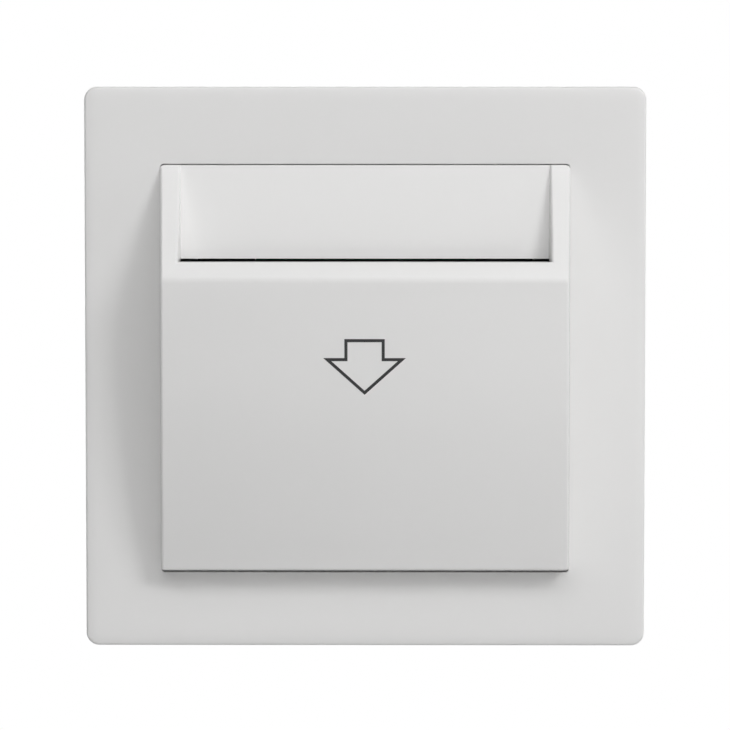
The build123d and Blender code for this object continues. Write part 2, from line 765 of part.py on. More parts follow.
def card_guide():
    """Rear wall of the card channel, on a base frame that stands on the yoke."""
    inner = recess_width / 2
    half = cover_half_width_at(guide_top_y - guide_rail_height) - cover_wall - slip_gap / 2
    plate = slab(-half, half, 0, guide_plate, -guide_length, 0)
    rail = slab(inner, half, -guide_rail_height, guide_plate / 2, -guide_length, -guide_rail_top_gap)
    plate += mirrored_x(rail)
    plate += slab(
        -half,
        half,
        -guide_stop_height,
        guide_plate / 2,
        -guide_length,
        -guide_length + guide_stop_thickness,
    )
    window_high = -guide_window_from
    window_low = window_high - guide_window_length
    plate -= slab(
        -guide_window_width / 2,
        guide_window_width / 2,
        -overrun,
        guide_plate + overrun,
        window_low,
        window_high,
    )
    body = Pos(0, guide_top_y, guide_top_z) * Rot(math.degrees(guide_tilt), 0, 0) * plate

    base_x = guide_base_width / 2
    base_z = guide_base_height / 2
    base = slab(-base_x, base_x, guide_base_front, yoke_front, -base_z, base_z)
    base -= slab(
        -yoke_opening_width / 2,
        yoke_opening_width / 2,
        guide_base_front - overrun,
        overrun,
        -yoke_opening_height / 2,
        yoke_opening_height / 2,
    )
    body += base
    web_low = -base_z + guide_boss_radius / 2
    web_high = guide_top_z - guide_plate
    web = side_prism(
        [
            (yoke_front, web_low),
            (yoke_front, web_high),
            (guide_middle_y(web_high), web_high),
            (guide_middle_y(web_low), web_low),
        ],
        guide_web_thickness / 2,
    )
    body += mirrored_x(Pos(base_x - guide_web_thickness, 0, 0) * web)
    for x, z in each_corner(screw_from_middle_x, screw_from_middle_z):
        front = ramp_y(z + guide_boss_radius) + ramp_wall + slip_gap
        if z < 0:
            front = guide_middle_y(z)
        body += rod_y(guide_boss_radius, front, yoke_front, x, z)
    for x, z in each_corner(screw_from_middle_x, screw_from_middle_z):
        bore = screw_radius + guide_boss_bore_margin
        body -= rod_y(bore, screw_tip - seat_gap, overrun, x, z)
    lug_front = guide_middle_y(pivot_z)
    lug_in = lever_width / 2 + lug_gap
    lug = slab(
        lug_in,
        lug_in + lug_thickness,
        lug_front,
        pivot_y + lug_behind_pivot,
        pivot_z - lug_below_pivot,
        pivot_z + lug_above_pivot,
    )
    body += mirrored_x(lug)
    stop_x = spring_low_x + spring_turns * spring_pitch
    stop_high = pivot_z + spring_brace_length
    stop_rear = spring_leg_y - spring_wire_radius - spring_stop_gap
    body += slab(
        stop_x - spring_stop_width / 2,
        stop_x + spring_stop_width / 2,
        guide_middle_y(stop_high),
        stop_rear,
        stop_high - spring_stop_height,
        stop_high,
    )
    pin_bore = lever_pin_radius + pin_fit / 4
    body -= rod_x(pin_bore, -lever_pin_length, lever_pin_length, pivot_y, pivot_z)
    notch_z = fixing_head_radius + slip_gap
    notch_x = fixing_spacing / 2 - fixing_head_radius
    notch = slab(
        notch_x, half + overrun, cover_front_limit, overrun, -notch_z, notch_z
    )
    body -= mirrored_x(notch)
    return body


def card_lever():
    """Lever whose nose stands in the card channel and whose pad presses the microswitch."""
    half = lever_width / 2
    arm_low = pivot_z - lever_arm_length
    coil_clear = pivot_z - spring_inner_radius - 2 * spring_wire_radius - slip_gap
    body = rod_x(lever_barrel_radius, -half, barrel_end, pivot_y, pivot_z)
    body += slab(-half, barrel_end, arm_front, arm_rear, coil_clear, pivot_z)
    body += slab(-half, half, arm_front, arm_rear, arm_low, coil_clear)
    tip_z = pivot_z - lever_nose_drop
    nose = side_prism(
        [
            (arm_rear, tip_z + lever_nose_lead),
            (arm_front, tip_z + lever_nose_lead),
            (guide_y(tip_z) - lever_nose_reach, tip_z + lever_nose_heel / 4),
            (guide_y(tip_z) - lever_nose_reach, tip_z - lever_nose_heel / 4),
            (arm_front, tip_z - lever_nose_heel),
            (arm_rear, tip_z - lever_nose_heel),
        ],
        lever_nose_width / 2,
    )
    body += nose
    body += slab(
        -lever_pad_width / 2,
        lever_pad_width / 2,
        arm_front,
        pad_rear,
        plunger_z - lever_pad_length / 2,
        plunger_z + lever_pad_length / 2,
    )
    seat_high = pivot_z - spring_leg_length + spring_seat_length
    body += slab(
        spring_low_x - spring_seat_width / 2,
        spring_low_x + spring_seat_width / 2,
        arm_front,
        spring_leg_y - spring_wire_radius,
        seat_high - spring_seat_length,
        seat_high,
    )
    body -= rod_x(lever_pin_radius + pin_fit, -lever_width, lever_width, pivot_y, pivot_z)
    return body


def lever_pivot_pin():
    """Steel pin through the guide's lugs and the lever."""
    pin = rod_x(lever_pin_radius, -lever_pin_length / 2, lever_pin_length / 2, pivot_y, pivot_z)
    ends = pin.edges().filter_by(GeomType.CIRCLE)
    return chamfer(ends, lever_pin_radius / 4)


def lever_spring():
    """Torsion spring round the pin, beside the lever's barrel."""
    length = spring_turns * spring_pitch
    coil_path = Helix(pitch=spring_pitch, height=length, radius=spring_mean)
    wire = Plane(origin=coil_path @ 0, z_dir=coil_path % 0) * Circle(spring_wire_radius)
    coil = sweep(wire, path=coil_path, is_frenet=True)
    place = Plane(
        origin=(spring_low_x + length, pivot_y, pivot_z), x_dir=(0, 1, 0), z_dir=(-1, 0, 0)
    )
    body = place * coil
    leg_z = pivot_z - spring_leg_length
    leg_radius = spring_wire_radius * spring_leg_radius_share
    leg_top = pivot_z + spring_wire_radius
    body += rod_z(leg_radius, leg_z, leg_top, spring_low_x, spring_leg_y)
    brace_z = pivot_z + spring_brace_length
    brace_low = pivot_z - spring_wire_radius
    return body + rod_z(leg_radius, brace_low, brace_z, spring_low_x + length, spring_leg_y)


def mounting_yoke():
    """Plate that the wall screws hold and the frame and cover snap onto."""
    outline = RectangleRounded(yoke_width, yoke_height, yoke_corner_radius)
    body = Pos(0, yoke_back, 0) * extrude(Plane.XZ * outline, amount=yoke_thickness)
    rib_outer_x = yoke_width - 2 * yoke_rib_inset
    rib_outer_z = yoke_height - 2 * yoke_rib_inset
    ring = RectangleRounded(rib_outer_x, rib_outer_z, yoke_corner_radius)
    ring -= RectangleRounded(
        rib_outer_x - 2 * yoke_rib_width, rib_outer_z - 2 * yoke_rib_width, yoke_rib_width
    )
    body += Pos(0, yoke_front, 0) * extrude(Plane.XZ * ring, amount=yoke_rib_height)
    hole = RectangleRounded(yoke_opening_width, yoke_opening_height, yoke_opening_corner)
    body -= Pos(0, overrun, 0) * extrude(Plane.XZ * hole, amount=yoke_thickness + 2 * overrun)
    slot = SlotOverall(fixing_slot_length, 2 * fixing_slot_radius)
    for side in (-1, 1):
        body -= Pos(side * fixing_spacing / 2, overrun, 0) * extrude(
            Plane.XZ * slot, amount=yoke_thickness + 2 * overrun
        )
    for x, z in each_corner(screw_from_middle_x, screw_from_middle_z):
        body -= rod_y(screw_hole_radius, yoke_front - overrun, overrun, x, z)
    hook_out = cover_top - cover_hook_inset + slip_gap
    hook_in = cover_top - cover_hook_inset - cover_hook_thickness - cover_hook_barb
    hook_half = cover_hook_width / 2 + slip_gap
    for x, z in each_corner(cover_hook_from_middle, cover_top):
        up = math.copysign(1, z)
        low = min(up * hook_in, up * hook_out)
        high = max(up * hook_in, up * hook_out)
        body -= slab(x - hook_half, x + hook_half, yoke_front - overrun, overrun, low, high)
    catch_half = tongue_width / 2 + catch_side_gap
    for x, z in each_corner(yoke_width / 2, tongue_from_middle):
        low = min(x, x - math.copysign(catch_depth, x))
        high = max(x, x - math.copysign(catch_depth, x))
        body -= slab(low, high, catch_ledge, overrun, z - catch_half, z + catch_half)
    return body


def assembly_screws():
    """Four screws from the rear that hold housing, yoke and guide together."""
    group = []
    for x, z in each_corner(screw_from_middle_x, screw_from_middle_z):
        top = flange_rear + screw_head_height
        shank = rod_y(screw_radius, screw_tip, flange_rear, x, z)
        head = rod_y(screw_head_radius, flange_rear, top, x, z)
        rim = head.edges().sort_by(Axis.Y)[-1]
        head = fillet(rim, screw_head_height / 3)
        group.append(shank + head - cross_recess(x, z, top))
    return Compound(children=group)


def cross_recess(x, z, top):
    """Cross-shaped driver recess."""
    half = screw_recess_slot / 2
    low = top - screw_recess_depth
    high = top + overrun
    reach = screw_recess_radius
    cross = slab(x - reach, x + reach, low, high, z - half, z + half)
    return cross + slab(x - half, x + half, low, high, z - reach, z + reach)


def housing_cross(half_x, half_z, step_x, step_z, y_low, y_high):
    """Box whose four corners are stepped in."""
    wide = slab(-half_x, half_x, y_low, y_high, -half_z + step_z, half_z - step_z)
    return wide + slab(-half_x + step_x, half_x - step_x, y_low, y_high, -half_z, half_z)


def rear_housing():
    """Box behind the yoke that holds board, relay and terminals."""
    half_x = housing_width / 2
    half_z = housing_height / 2
    body = slab(-half_x, half_x, yoke_back, flange_rear, -half_z, half_z)
    upright = body.edges().filter_by(Axis.Y)
    body = fillet(upright, housing_corner_radius)
    shell = housing_cross(
        half_x, half_z, housing_notch_width, housing_notch_height, yoke_back, housing_depth
    )
    rear_edges = shell.edges().filter_by(
        lambda edge: edge.center().Y > housing_depth - seat_gap
    )
    body += fillet(rear_edges, housing_corner_radius / 2)
    body -= housing_cross(
        half_x - housing_wall,
        half_z - housing_wall,
        housing_notch_width,
        housing_notch_height,
        -overrun,
        housing_floor,
    )
    for side in (-1, 1):
        x = side * board_boss_from_middle
        body += rod_y(board_boss_radius, board_rear, housing_floor + seat_gap, x, 0)
        body -= rod_y(board_boss_bore, board_rear - overrun, board_rear + board_screw_length, x, 0)
        partition_x = side * terminal_pitch / 2
        body += slab(
            partition_x - partition_thickness / 2,
            partition_x + partition_thickness / 2,
            terminal_front,
            housing_floor + seat_gap,
            -half_z + housing_wall / 2,
            -half_z + housing_wall + partition_length,
        )
    for x in terminal_places():
        body -= rod_z(wire_entry_radius, -half_z - overrun, terminal_z_low, x, wire_axis_y)
        body -= rod_y(
            driver_hole_radius,
            housing_floor - overrun,
            housing_depth + overrun,
            x,
            terminal_z_middle,
        )
    for index in range(vent_count):
        x = (index - (vent_count - 1) / 2) * vent_pitch
        body -= slab(
            x - vent_width / 2,
            x + vent_width / 2,
            housing_floor - overrun,
            housing_depth + overrun,
            half_z - vent_from_top - vent_height,
            half_z - vent_from_top,
        )
    for x, z in each_corner(screw_from_middle_x, screw_from_middle_z):
        body -= rod_y(screw_hole_radius, yoke_back - overrun, flange_rear + overrun, x, z)
    return body


def terminal_places():
    """X of the three terminals."""
    return [(index - 1) * terminal_pitch for index in range(3)]


def terminal_block(x):
    """Pillar terminal with its wire bore, screw thread and board leg."""
    half = terminal_width / 2
    z_high = terminal_z_low + terminal_height
    body = slab(x - half, x + half, terminal_front, terminal_rear, terminal_z_low, z_high)
    body = chamfer(body.edges().filter_by(Axis.Z), terminal_edge)
    body -= rod_z(
        terminal_bore_radius, terminal_z_low - overrun, z_high + overrun, x, wire_axis_y
    )
    thread = terminal_screw_radius + terminal_thread_gap
    body -= rod_y(thread, wire_axis_y, terminal_rear + overrun, x, terminal_z_middle)
    leg_x = terminal_leg_width / 2
    leg_z = terminal_leg_thickness / 2
    body += slab(
        x - leg_x,
        x + leg_x,
        lead_front,
        terminal_front + terminal_edge,
        terminal_z_middle - leg_z,
        terminal_z_middle + leg_z,
    )
    return body


def terminal_screws():
    """Three clamp screws, backed off so that the wire bores are free."""
    group = []
    tip = wire_axis_y + terminal_bore_radius + seat_gap
    head_low = terminal_rear + terminal_screw_lift
    head_high = head_low + terminal_screw_head_height
    for x in terminal_places():
        shank = rod_y(terminal_screw_radius, tip, head_low, x, terminal_z_middle)
        head = rod_y(terminal_screw_head_radius, head_low, head_high, x, terminal_z_middle)
        screw = shank + head
        group.append(screw - cross_recess(x, terminal_z_middle, head_high))
    return Compound(children=group)


def board_pins():
    """Every place where a round lead passes the board, as (x, z, radius)."""
    pins = []
    for place, pitch in (
        (smoothing_place, smoothing_pin_pitch),
        (timing_place, timing_pin_pitch),
        (dropper_place, dropper_pin_pitch),
        (varistor_place, varistor_pin_pitch),
        (fuse_place, fuse_pin_pitch),
        (diode_place, diode_span),
        (zener_place, zener_span),
    ):
        for side in (-1, 1):
            pins.append((place[0] + side * pitch / 2, place[1], lead_radius))
    for place in resistor_places:
        for side in (-1, 1):
            pins.append((place[0] + side * resistor_span / 2, place[1], lead_radius))
    for index in (-1, 0, 1):
        x = transistor_place[0] + index * transistor_pin_pitch
        pins.append((x, transistor_place[1], leg_width / 2))
    for x, z in each_corner(bridge_pin_pitch / 2, bridge_row_spacing / 2):
        pins.append((bridge_place[0] + x, bridge_place[1] + z, leg_width / 2))
    for x, z in chip_pin_places():
        pins.append((x, z, leg_width / 2))
    for side in (-1, 1):
        pins.append((core_x - coil_pin_offset, relay_centre_z + side * coil_pin_side, coil_pin_radius))
    for index in range(3):
        x = blade_pivot_x + index * micro_pin_pitch
        pins.append((x, plunger_z, micro_pin_width / 2))
    return pins


def chip_pin_places():
    """Places of the timer chip's pins."""
    places = []
    for index in range(chip_pins_in_row):
        x = chip_place[0] + (index - (chip_pins_in_row - 1) / 2) * chip_pin_pitch
        for side in (-1, 1):
            places.append((x, chip_place[1] + side * chip_row_spacing / 2))
    return places


def strip_slots():
    """Slots for flat legs: (x low, x high, z low, z high) of each leg."""
    slots = []
    for x in terminal_places():
        slots.append(
            (
                x - terminal_leg_width / 2,
                x + terminal_leg_width / 2,
                terminal_z_middle - terminal_leg_thickness / 2,
                terminal_z_middle + terminal_leg_thickness / 2,
            )
        )
    slots.append(relay_tab_box())
    slots.append(contact_tab_box())
    return slots


def relay_tab_box():
    """Plan of the relay frame's tab through the board."""
    low = core_x - relay_frame_reach
    return (
        low,
        low + relay_steel,
        relay_centre_z - contact_strip_width / 4,
        relay_centre_z + contact_strip_width / 4,
    )


def contact_tab_box():
    """Plan of the fixed contact's strip through the board."""
    high = core_x + contact_blade_reach + seat_gap
    return (
        high - contact_strip,
        high,
        relay_centre_z - contact_strip_width / 2,
        relay_centre_z + contact_strip_width / 2,
    )


def circuit_board():
    """Board with stepped corners, bored for every lead."""
    edge = housing_wall + board_edge_gap
    half_x = housing_width / 2 - edge
    half_z = housing_height / 2 - edge
    body = housing_cross(
        half_x, half_z, housing_notch_width, housing_notch_height, board_front, board_rear
    )
    low = board_front - overrun
    high = board_rear + overrun
    for x, z, radius in board_pins():
        body -= rod_y(radius + board_hole_gap, low, high, x, z)
    for x_low, x_high, z_low, z_high in strip_slots():
        body -= slab(
            x_low - board_hole_gap,
            x_high + board_hole_gap,
            low,
            high,
            z_low - board_hole_gap,
            z_high + board_hole_gap,
        )
    for side in (-1, 1):
        hole = board_screw_radius + board_hole_gap
        body -= rod_y(hole, low, high, side * board_boss_from_middle, 0)
    return body


def board_screws():
    """Two screws that hold the board on the housing's bosses."""
    group = []
    head_front = board_front - board_screw_head_height
    for side in (-1, 1):
        x = side * board_boss_from_middle
        tip = board_rear + board_screw_length - seat_gap
        screw = rod_y(board_screw_radius, board_front, tip, x, 0)
        screw += rod_y(board_screw_head_radius, head_front, board_front, x, 0)
        half = screw_recess_slot / 2
        reach = board_screw_head_radius * 0.6
        low = head_front - overrun
        high = head_front + board_screw_head_height / 2
        screw -= slab(x - reach, x + reach, low, high, -half, half)
        screw -= slab(x - half, x + half, low, high, -reach, reach)
        group.append(screw)
    return Compound(children=group)


def micro_limits():
    """Plan of the microswitch: x low, x high, z low, z high."""
    return (
        micro_low_x,
        micro_low_x + micro_length,
        plunger_z - micro_width / 2,
        plunger_z + micro_width / 2,
    )


def microswitch_case():
    """Hollow case with the plunger's bore in its front wall."""
    x_low, x_high, z_low, z_high = micro_limits()
    rear = micro_rear - micro_base
    body = slab(x_low, x_high, micro_front, rear, z_low, z_high)
    body = chamfer(body.edges().filter_by(Axis.Y), seat_gap * 3)
    body -= slab(
        x_low + micro_wall,
        x_high - micro_wall,
        micro_front + micro_wall,
        rear + overrun,
        z_low + micro_wall,
        z_high - micro_wall,
    )
    bore = plunger_radius + pin_fit
    body -= rod_y(bore, micro_front - overrun, micro_front + micro_wall + overrun, 0, plunger_z)
    return body


def microswitch_base():
    """Base plate that carries the three terminals."""
    x_low, x_high, z_low, z_high = micro_limits()
    body = slab(x_low, x_high, micro_rear - micro_base, micro_rear, z_low, z_high)
    for index in range(3):
        x = blade_pivot_x + index * micro_pin_pitch
        body -= slab(
            x - micro_pin_width / 2 - seat_gap / 2,
            x + micro_pin_width / 2 + seat_gap / 2,
            micro_rear - micro_base - overrun,
            micro_rear + overrun,
            plunger_z - micro_pin_thickness / 2 - seat_gap / 2,
            plunger_z + micro_pin_thickness / 2 + seat_gap / 2,
        )
    return body


def microswitch_plunger():
    """Plunger that the lever's pad presses."""
    flange_front = micro_front + micro_wall + seat_gap / 2
    body = rod_y(plunger_radius, plunger_tip, flange_front + seat_gap, 0, plunger_z)
    dome = body.edges().sort_by(Axis.Y)[0]
    body = fillet(dome, plunger_radius / 2)
    tail = rod_y(plunger_tail_radius, flange_front, plunger_end, 0, plunger_z)
    body += fillet(tail.edges().sort_by(Axis.Y)[-1], plunger_tail_radius * 2 / 3)
    body += rod_y(
        plunger_flange_radius,
        flange_front,
        flange_front + plunger_flange_height,
        0,
        plunger_z,
    )
    return body


def microswitch_blade():
    """Snap blade with its contact at the free end."""
    tip = blade_pivot_x + blade_reach
    rear = blade_front + blade_thickness
    body = slab(
        blade_pivot_x,
        tip,
        blade_front,
        rear,
        plunger_z - blade_width / 2,
        plunger_z + blade_width / 2,
    )
    window = blade_width / 4
    body -= slab(
        blade_pivot_x + blade_width / 2,
        -plunger_radius * 1.5,
        blade_front - overrun,
        rear + overrun,
        plunger_z - window,
        plunger_z + window,
    )
    contact_x = tip - blade_contact_radius
    body += rod_y(
        blade_contact_radius,
        blade_front - blade_contact_height,
        rear + blade_contact_height,
        contact_x,
        plunger_z,
    )
    return body


def micro_pin(index):
    """Straight terminal pin through the switch's base and the board."""
    x = blade_pivot_x + index * micro_pin_pitch
    return slab(
        x - micro_pin_width / 2,
        x + micro_pin_width / 2,
        micro_rear - micro_base - seat_gap,
        board_rear + lead_end * 0.8,
        plunger_z - micro_pin_thickness / 2,
        plunger_z + micro_pin_thickness / 2,
    )


def microswitch_common_terminal():
    """Terminal whose top the blade rocks on."""
    x_low = blade_pivot_x - micro_pin_width / 2
    x_high = blade_pivot_x + seat_gap
    top = blade_front + blade_thickness + seat_gap / 2
    return micro_pin(0) + slab(
        x_low,
        x_high,
        top,
        micro_rear - micro_base,
        plunger_z - blade_width / 2,
        plunger_z + blade_width / 2,
    )


def microswitch_open_terminal():
    """Terminal with the contact that the pressed blade meets."""
    foot_rear = micro_rear - micro_base
    foot_front = foot_rear - micro_pin_thickness
    tip = blade_pivot_x + blade_reach
    x_low = blade_pivot_x + micro_pin_pitch - micro_pin_width / 2
    button_front = blade_front + blade_thickness + blade_contact_height + micro_contact_gap
    half = blade_width / 2
    body = micro_pin(1)
    body += slab(x_low, tip, foot_front, foot_rear, plunger_z - half, plunger_z + half)
    body += rod_y(
        blade_contact_radius,
        min(button_front, foot_front - seat_gap),
        foot_front,
        tip - blade_contact_radius,
        plunger_z,
    )
    keep_off = blade_pivot_x + 2 * micro_pin_pitch - micro_pin_width / 2 - slip_gap
    body -= slab(
        keep_off,
        tip + overrun,
        foot_front - overrun,
        foot_rear + overrun,
        plunger_z - half - overrun,
        plunger_z - half / 2,
    )
    return body


def microswitch_closed_terminal():
    """Terminal that carries the contact in front of the blade's free end."""
    x = blade_pivot_x + 2 * micro_pin_pitch
    tip = blade_pivot_x + blade_reach
    half = blade_width / 2
    arm_front = micro_front + micro_wall + seat_gap
    arm_rear = arm_front + micro_pin_thickness / 2
    column_x = tip + slip_gap
    body = slab(
        column_x,
        column_x + micro_pin_thickness,
        arm_front,
        micro_rear - micro_base,
        plunger_z - half,
        plunger_z + half,
    )
    body += slab(
        tip - 2 * blade_contact_radius,
        column_x + micro_pin_thickness,
        arm_front,
        arm_rear,
        plunger_z - half,
        plunger_z + half,
    )
    foot_front = micro_rear - micro_base - micro_pin_thickness / 2
    body += slab(
        x - micro_pin_width / 2,
        column_x + micro_pin_thickness,
        foot_front,
        micro_rear - micro_base,
        plunger_z - half,
        plunger_z - half / 2 - seat_gap,
    )
    return body


def relay_plan(inset):
    """Plan of the relay, inset: x low, x high, z low, z high."""
    half_x = relay_length / 2 - inset
    half_z = relay_width / 2 - inset
    return (
        relay_centre_x - half_x,
        relay_centre_x + half_x,
        relay_centre_z - half_z,
        relay_centre_z + half_z,
    )


def relay_box(inset, y_low, y_high):
    """Box on the relay's plan."""
    x_low, x_high, z_low, z_high = relay_plan(inset)
    return slab(x_low, x_high, y_low, y_high, z_low, z_high)


def relay_cover():
    """Moulded dust cover of the relay."""
    body = relay_box(0, component_seat, relay_top)
    edges = body.edges().filter_by(lambda edge: edge.center().Y > component_seat + seat_gap)
    body = fillet(edges, relay_wall / 2)
    return body - relay_box(relay_wall, component_seat - overrun, relay_top - relay_wall)


def relay_base():
    """Base of the relay, bored for its pins and strips."""
    body = relay_box(relay_wall + seat_gap / 2, component_seat, relay_base_top)
    low = component_seat - overrun
    high = relay_base_top + overrun
    for side in (-1, 1):
        x = core_x - coil_pin_offset
        z = relay_centre_z + side * coil_pin_side
        body -= rod_y(coil_pin_radius + seat_gap / 2, low, high, x, z)
    for x_low, x_high, z_low, z_high in (relay_tab_box(), contact_tab_box()):
        gap = seat_gap / 2
        body -= slab(x_low - gap, x_high + gap, low, high, z_low - gap, z_high + gap)
    return body


def relay_frame():
    """L-shaped steel frame with a tab to the board."""
    x_low = core_x - relay_frame_reach
    half = relay_steel_width / 2
    z_low = relay_centre_z - half
    z_high = relay_centre_z + half
    body = slab(x_low, core_x + relay_frame_toe, steel_low, steel_high, z_low, z_high)
    body += slab(x_low, x_low + relay_steel, steel_low, pole_face, z_low, z_high)
    tab = relay_tab_box()
    body += slab(tab[0], tab[1], lead_front, steel_high, tab[2], tab[3])
    return body


def relay_core():
    """Iron core with its pole head."""
    body = rod_y(relay_core_radius, steel_high, pole_face, core_x, relay_centre_z)
    return body + rod_y(relay_head_radius, head_low, pole_face, core_x, relay_centre_z)


def relay_bobbin():
    """Spool of the coil."""
    bore = relay_core_radius + seat_gap
    half = bobbin_flange_width / 2
    body = rod_y(bore + bobbin_tube, bobbin_low, bobbin_high, core_x, relay_centre_z)
    for low in (bobbin_low, bobbin_high - bobbin_flange):
        body += slab(
            core_x - half,
            core_x + half,
            low,
            low + bobbin_flange,
            relay_centre_z - half,
            relay_centre_z + half,
        )
    return body - rod_y(bore, bobbin_low - overrun, bobbin_high + overrun, core_x, relay_centre_z)


def relay_winding():
    """Copper winding between the spool's flanges."""
    low = bobbin_low + bobbin_flange + seat_gap / 2
    high = bobbin_high - bobbin_flange - seat_gap / 2
    inner = relay_core_radius + seat_gap + bobbin_tube + seat_gap / 2
    body = rod_y(winding_radius, low, high, core_x, relay_centre_z)
    return body - rod_y(inner, low - overrun, high + overrun, core_x, relay_centre_z)


def opened(part):
    """Turns a piece drawn with the armature closed to its released place."""
    return (
        Pos(hinge_x, hinge_y, 0)
        * Rot(0, 0, armature_open_degrees)
        * Pos(-hinge_x, -hinge_y, 0)
        * part
    )


def relay_armature():
    """Steel plate that the coil pulls to the core."""
    half = relay_steel_width / 2
    return opened(
        slab(
            hinge_x - seat_gap,
            core_x + armature_reach,
            armature_low,
            armature_high,
            relay_centre_z - half,
            relay_centre_z + half,
        )
    )


def relay_contact_blade():
    """Bronze blade on the armature."""
    half = contact_blade_width / 2
    blade = slab(
        core_x - contact_blade_start,
        core_x + contact_blade_reach,
        armature_high,
        armature_high + contact_blade_thickness,
        relay_centre_z - half,
        relay_centre_z + half,
    )
    blade -= rod_y(
        contact_radius / 2,
        armature_high - overrun,
        armature_high + overrun,
        core_x + contact_place,
        relay_centre_z,
    )
    return opened(blade)


def relay_moving_contact():
    """Silver contact riveted through the blade."""
    x = core_x + contact_place
    top = armature_high + contact_blade_thickness
    body = rod_y(contact_radius, armature_high - contact_height, armature_high, x, relay_centre_z)
    body += rod_y(
        contact_radius / 2 - seat_gap / 4, armature_high - seat_gap, top, x, relay_centre_z
    )
    body += rod_y(contact_radius * 0.8, top, top + contact_rivet_height, x, relay_centre_z)
    return opened(body)


def relay_fixed_contact():
    """Silver contact on the fixed strip."""
    top = armature_high - contact_height - armature_gap
    x = core_x + contact_place
    return rod_y(contact_radius, top - contact_height, top, x, relay_centre_z)


def relay_contact_terminal():
    """Strip that carries the fixed contact down through the board."""
    top = armature_high - 2 * contact_height - armature_gap
    tab = contact_tab_box()
    body = slab(tab[0], tab[1], lead_front, top, tab[2], tab[3])
    x_low = core_x + contact_place - contact_radius - seat_gap
    return body + slab(x_low, tab[1], top - contact_strip, top, tab[2], tab[3])


def relay_return_spring():
    """Leaf spring that lifts the armature off the core."""
    half = return_spring_width / 2
    z_low = relay_centre_z - half
    z_high = relay_centre_z + half
    outer = hinge_x - return_spring_offset - return_spring_thickness
    inner = outer + return_spring_thickness
    top = armature_high + return_spring_offset + return_spring_thickness
    low = pole_face - bobbin_height * return_spring_share
    body = slab(outer, inner, low, top, z_low, z_high)
    body += slab(
        outer, hinge_x + return_spring_foot, top - return_spring_thickness, top, z_low, z_high
    )
    return body + slab(outer, hinge_x, low, low + return_spring_foot, z_low, z_high)


def relay_coil_pins():
    """Two pins that the coil's ends are wound on."""
    pins = []
    for side in (-1, 1):
        z = relay_centre_z + side * coil_pin_side
        x = core_x - coil_pin_offset
        pins.append(rod_y(coil_pin_radius, lead_front, relay_base_top + coil_pin_rise, x, z))
    return Compound(children=pins)


def straight_leads(place, pitch, top):
    """Two round leads along Y through the board."""
    leads = []
    for side in (-1, 1):
        leads.append(rod_y(lead_radius, lead_front, top, place[0] + side * pitch / 2, place[1]))
    return leads


def can_capacitor(radius, height_share, place, pitch):
    """Round can with a rolled groove and two leads."""
    height = room * height_share
    top = component_seat + height
    body = rod_y(radius, component_seat, top, *place)
    rims = body.edges().filter_by(GeomType.CIRCLE)
    body = fillet(rims, can_edge_radius)
    groove_low = component_seat + can_groove_height
    groove = rod_y(radius + overrun, groove_low, groove_low + 2 * can_groove_depth, *place)
    groove -= rod_y(radius - can_groove_depth, groove_low, groove_low + height, *place)
    body -= groove
    for lead in straight_leads(place, pitch, component_seat + can_edge_radius):
        body += lead
    return body


def smoothing_capacitor():
    """Large electrolytic capacitor."""
    return can_capacitor(smoothing_radius, smoothing_height_share, smoothing_place, smoothing_pin_pitch)


def timing_capacitor():
    """Small electrolytic capacitor."""
    return can_capacitor(timing_radius, timing_height_share, timing_place, timing_pin_pitch)


def dropper_capacitor():
    """Film capacitor in a box."""
    x, z = dropper_place
    body = slab(
        x - dropper_length / 2,
        x + dropper_length / 2,
        component_seat,
        component_seat + room * dropper_height_share,
        z - dropper_width / 2,
        z + dropper_width / 2,
    )
    body = fillet(body.edges(), box_edge)
    for lead in straight_leads(dropper_place, dropper_pin_pitch, component_seat + box_edge):
        body += lead
    return body


def varistor():
    """Coated disc that stands on its two leads."""
    x, z = varistor_place
    centre = component_seat + varistor_rise + varistor_radius
    low = z - varistor_thickness / 2
    body = rod_z(varistor_radius, low, low + varistor_thickness, x, centre)
    body = fillet(body.edges().filter_by(GeomType.CIRCLE), varistor_thickness / 3)
    for lead in straight_leads(varistor_place, varistor_pin_pitch, centre):
        body += lead
    return body


def fuse():
    """Round board fuse."""
    body = rod_y(fuse_radius, component_seat, component_seat + fuse_height, *fuse_place)
    body = fillet(body.edges().sort_by(Axis.Y)[-1], box_edge)
    for lead in straight_leads(fuse_place, fuse_pin_pitch, component_seat + box_edge):
        body += lead
    return body


def flat_leg(x, z, side):
    """Leg that leaves a chip's side and turns down through the board."""
    shoulder = component_seat + leg_shoulder
    half = leg_width / 2
    thick = leg_thickness / 2
    body = slab(x - half, x + half, lead_front, shoulder, z - thick, z + thick)
    inner = z - side * leg_width * 2
    low = min(inner, z + side * thick)
    high = max(inner, z + side * thick)
    return body + slab(x - half, x + half, shoulder - leg_thickness, shoulder, low, high)


def bridge_rectifier():
    """Four-legged rectifier."""
    x, z = bridge_place
    body = slab(
        x - bridge_length / 2,
        x + bridge_length / 2,
        component_seat,
        component_seat + bridge_height,
        z - bridge_width / 2,
        z + bridge_width / 2,
    )
    body = chamfer(body.edges().filter_by(Axis.Y), box_edge)
    for leg_x, leg_z in each_corner(bridge_pin_pitch / 2, bridge_row_spacing / 2):
        side = math.copysign(1, leg_z)
        body += flat_leg(x + leg_x, z + leg_z, side)
    return body


def timer_chip():
    """Eight-legged chip with its end notch."""
    x, z = chip_place
    top = component_seat + chip_height
    body = slab(
        x - chip_length / 2,
        x + chip_length / 2,
        component_seat,
        top,
        z - chip_width / 2,
        z + chip_width / 2,
    )
    body = chamfer(body.edges().group_by(Axis.Y)[-1], leg_thickness)
    body -= rod_y(chip_notch_radius, top - leg_width, top + overrun, x - chip_length / 2, z)
    for leg_x, leg_z in chip_pin_places():
        body += flat_leg(leg_x, leg_z, math.copysign(1, leg_z - z))
    return body


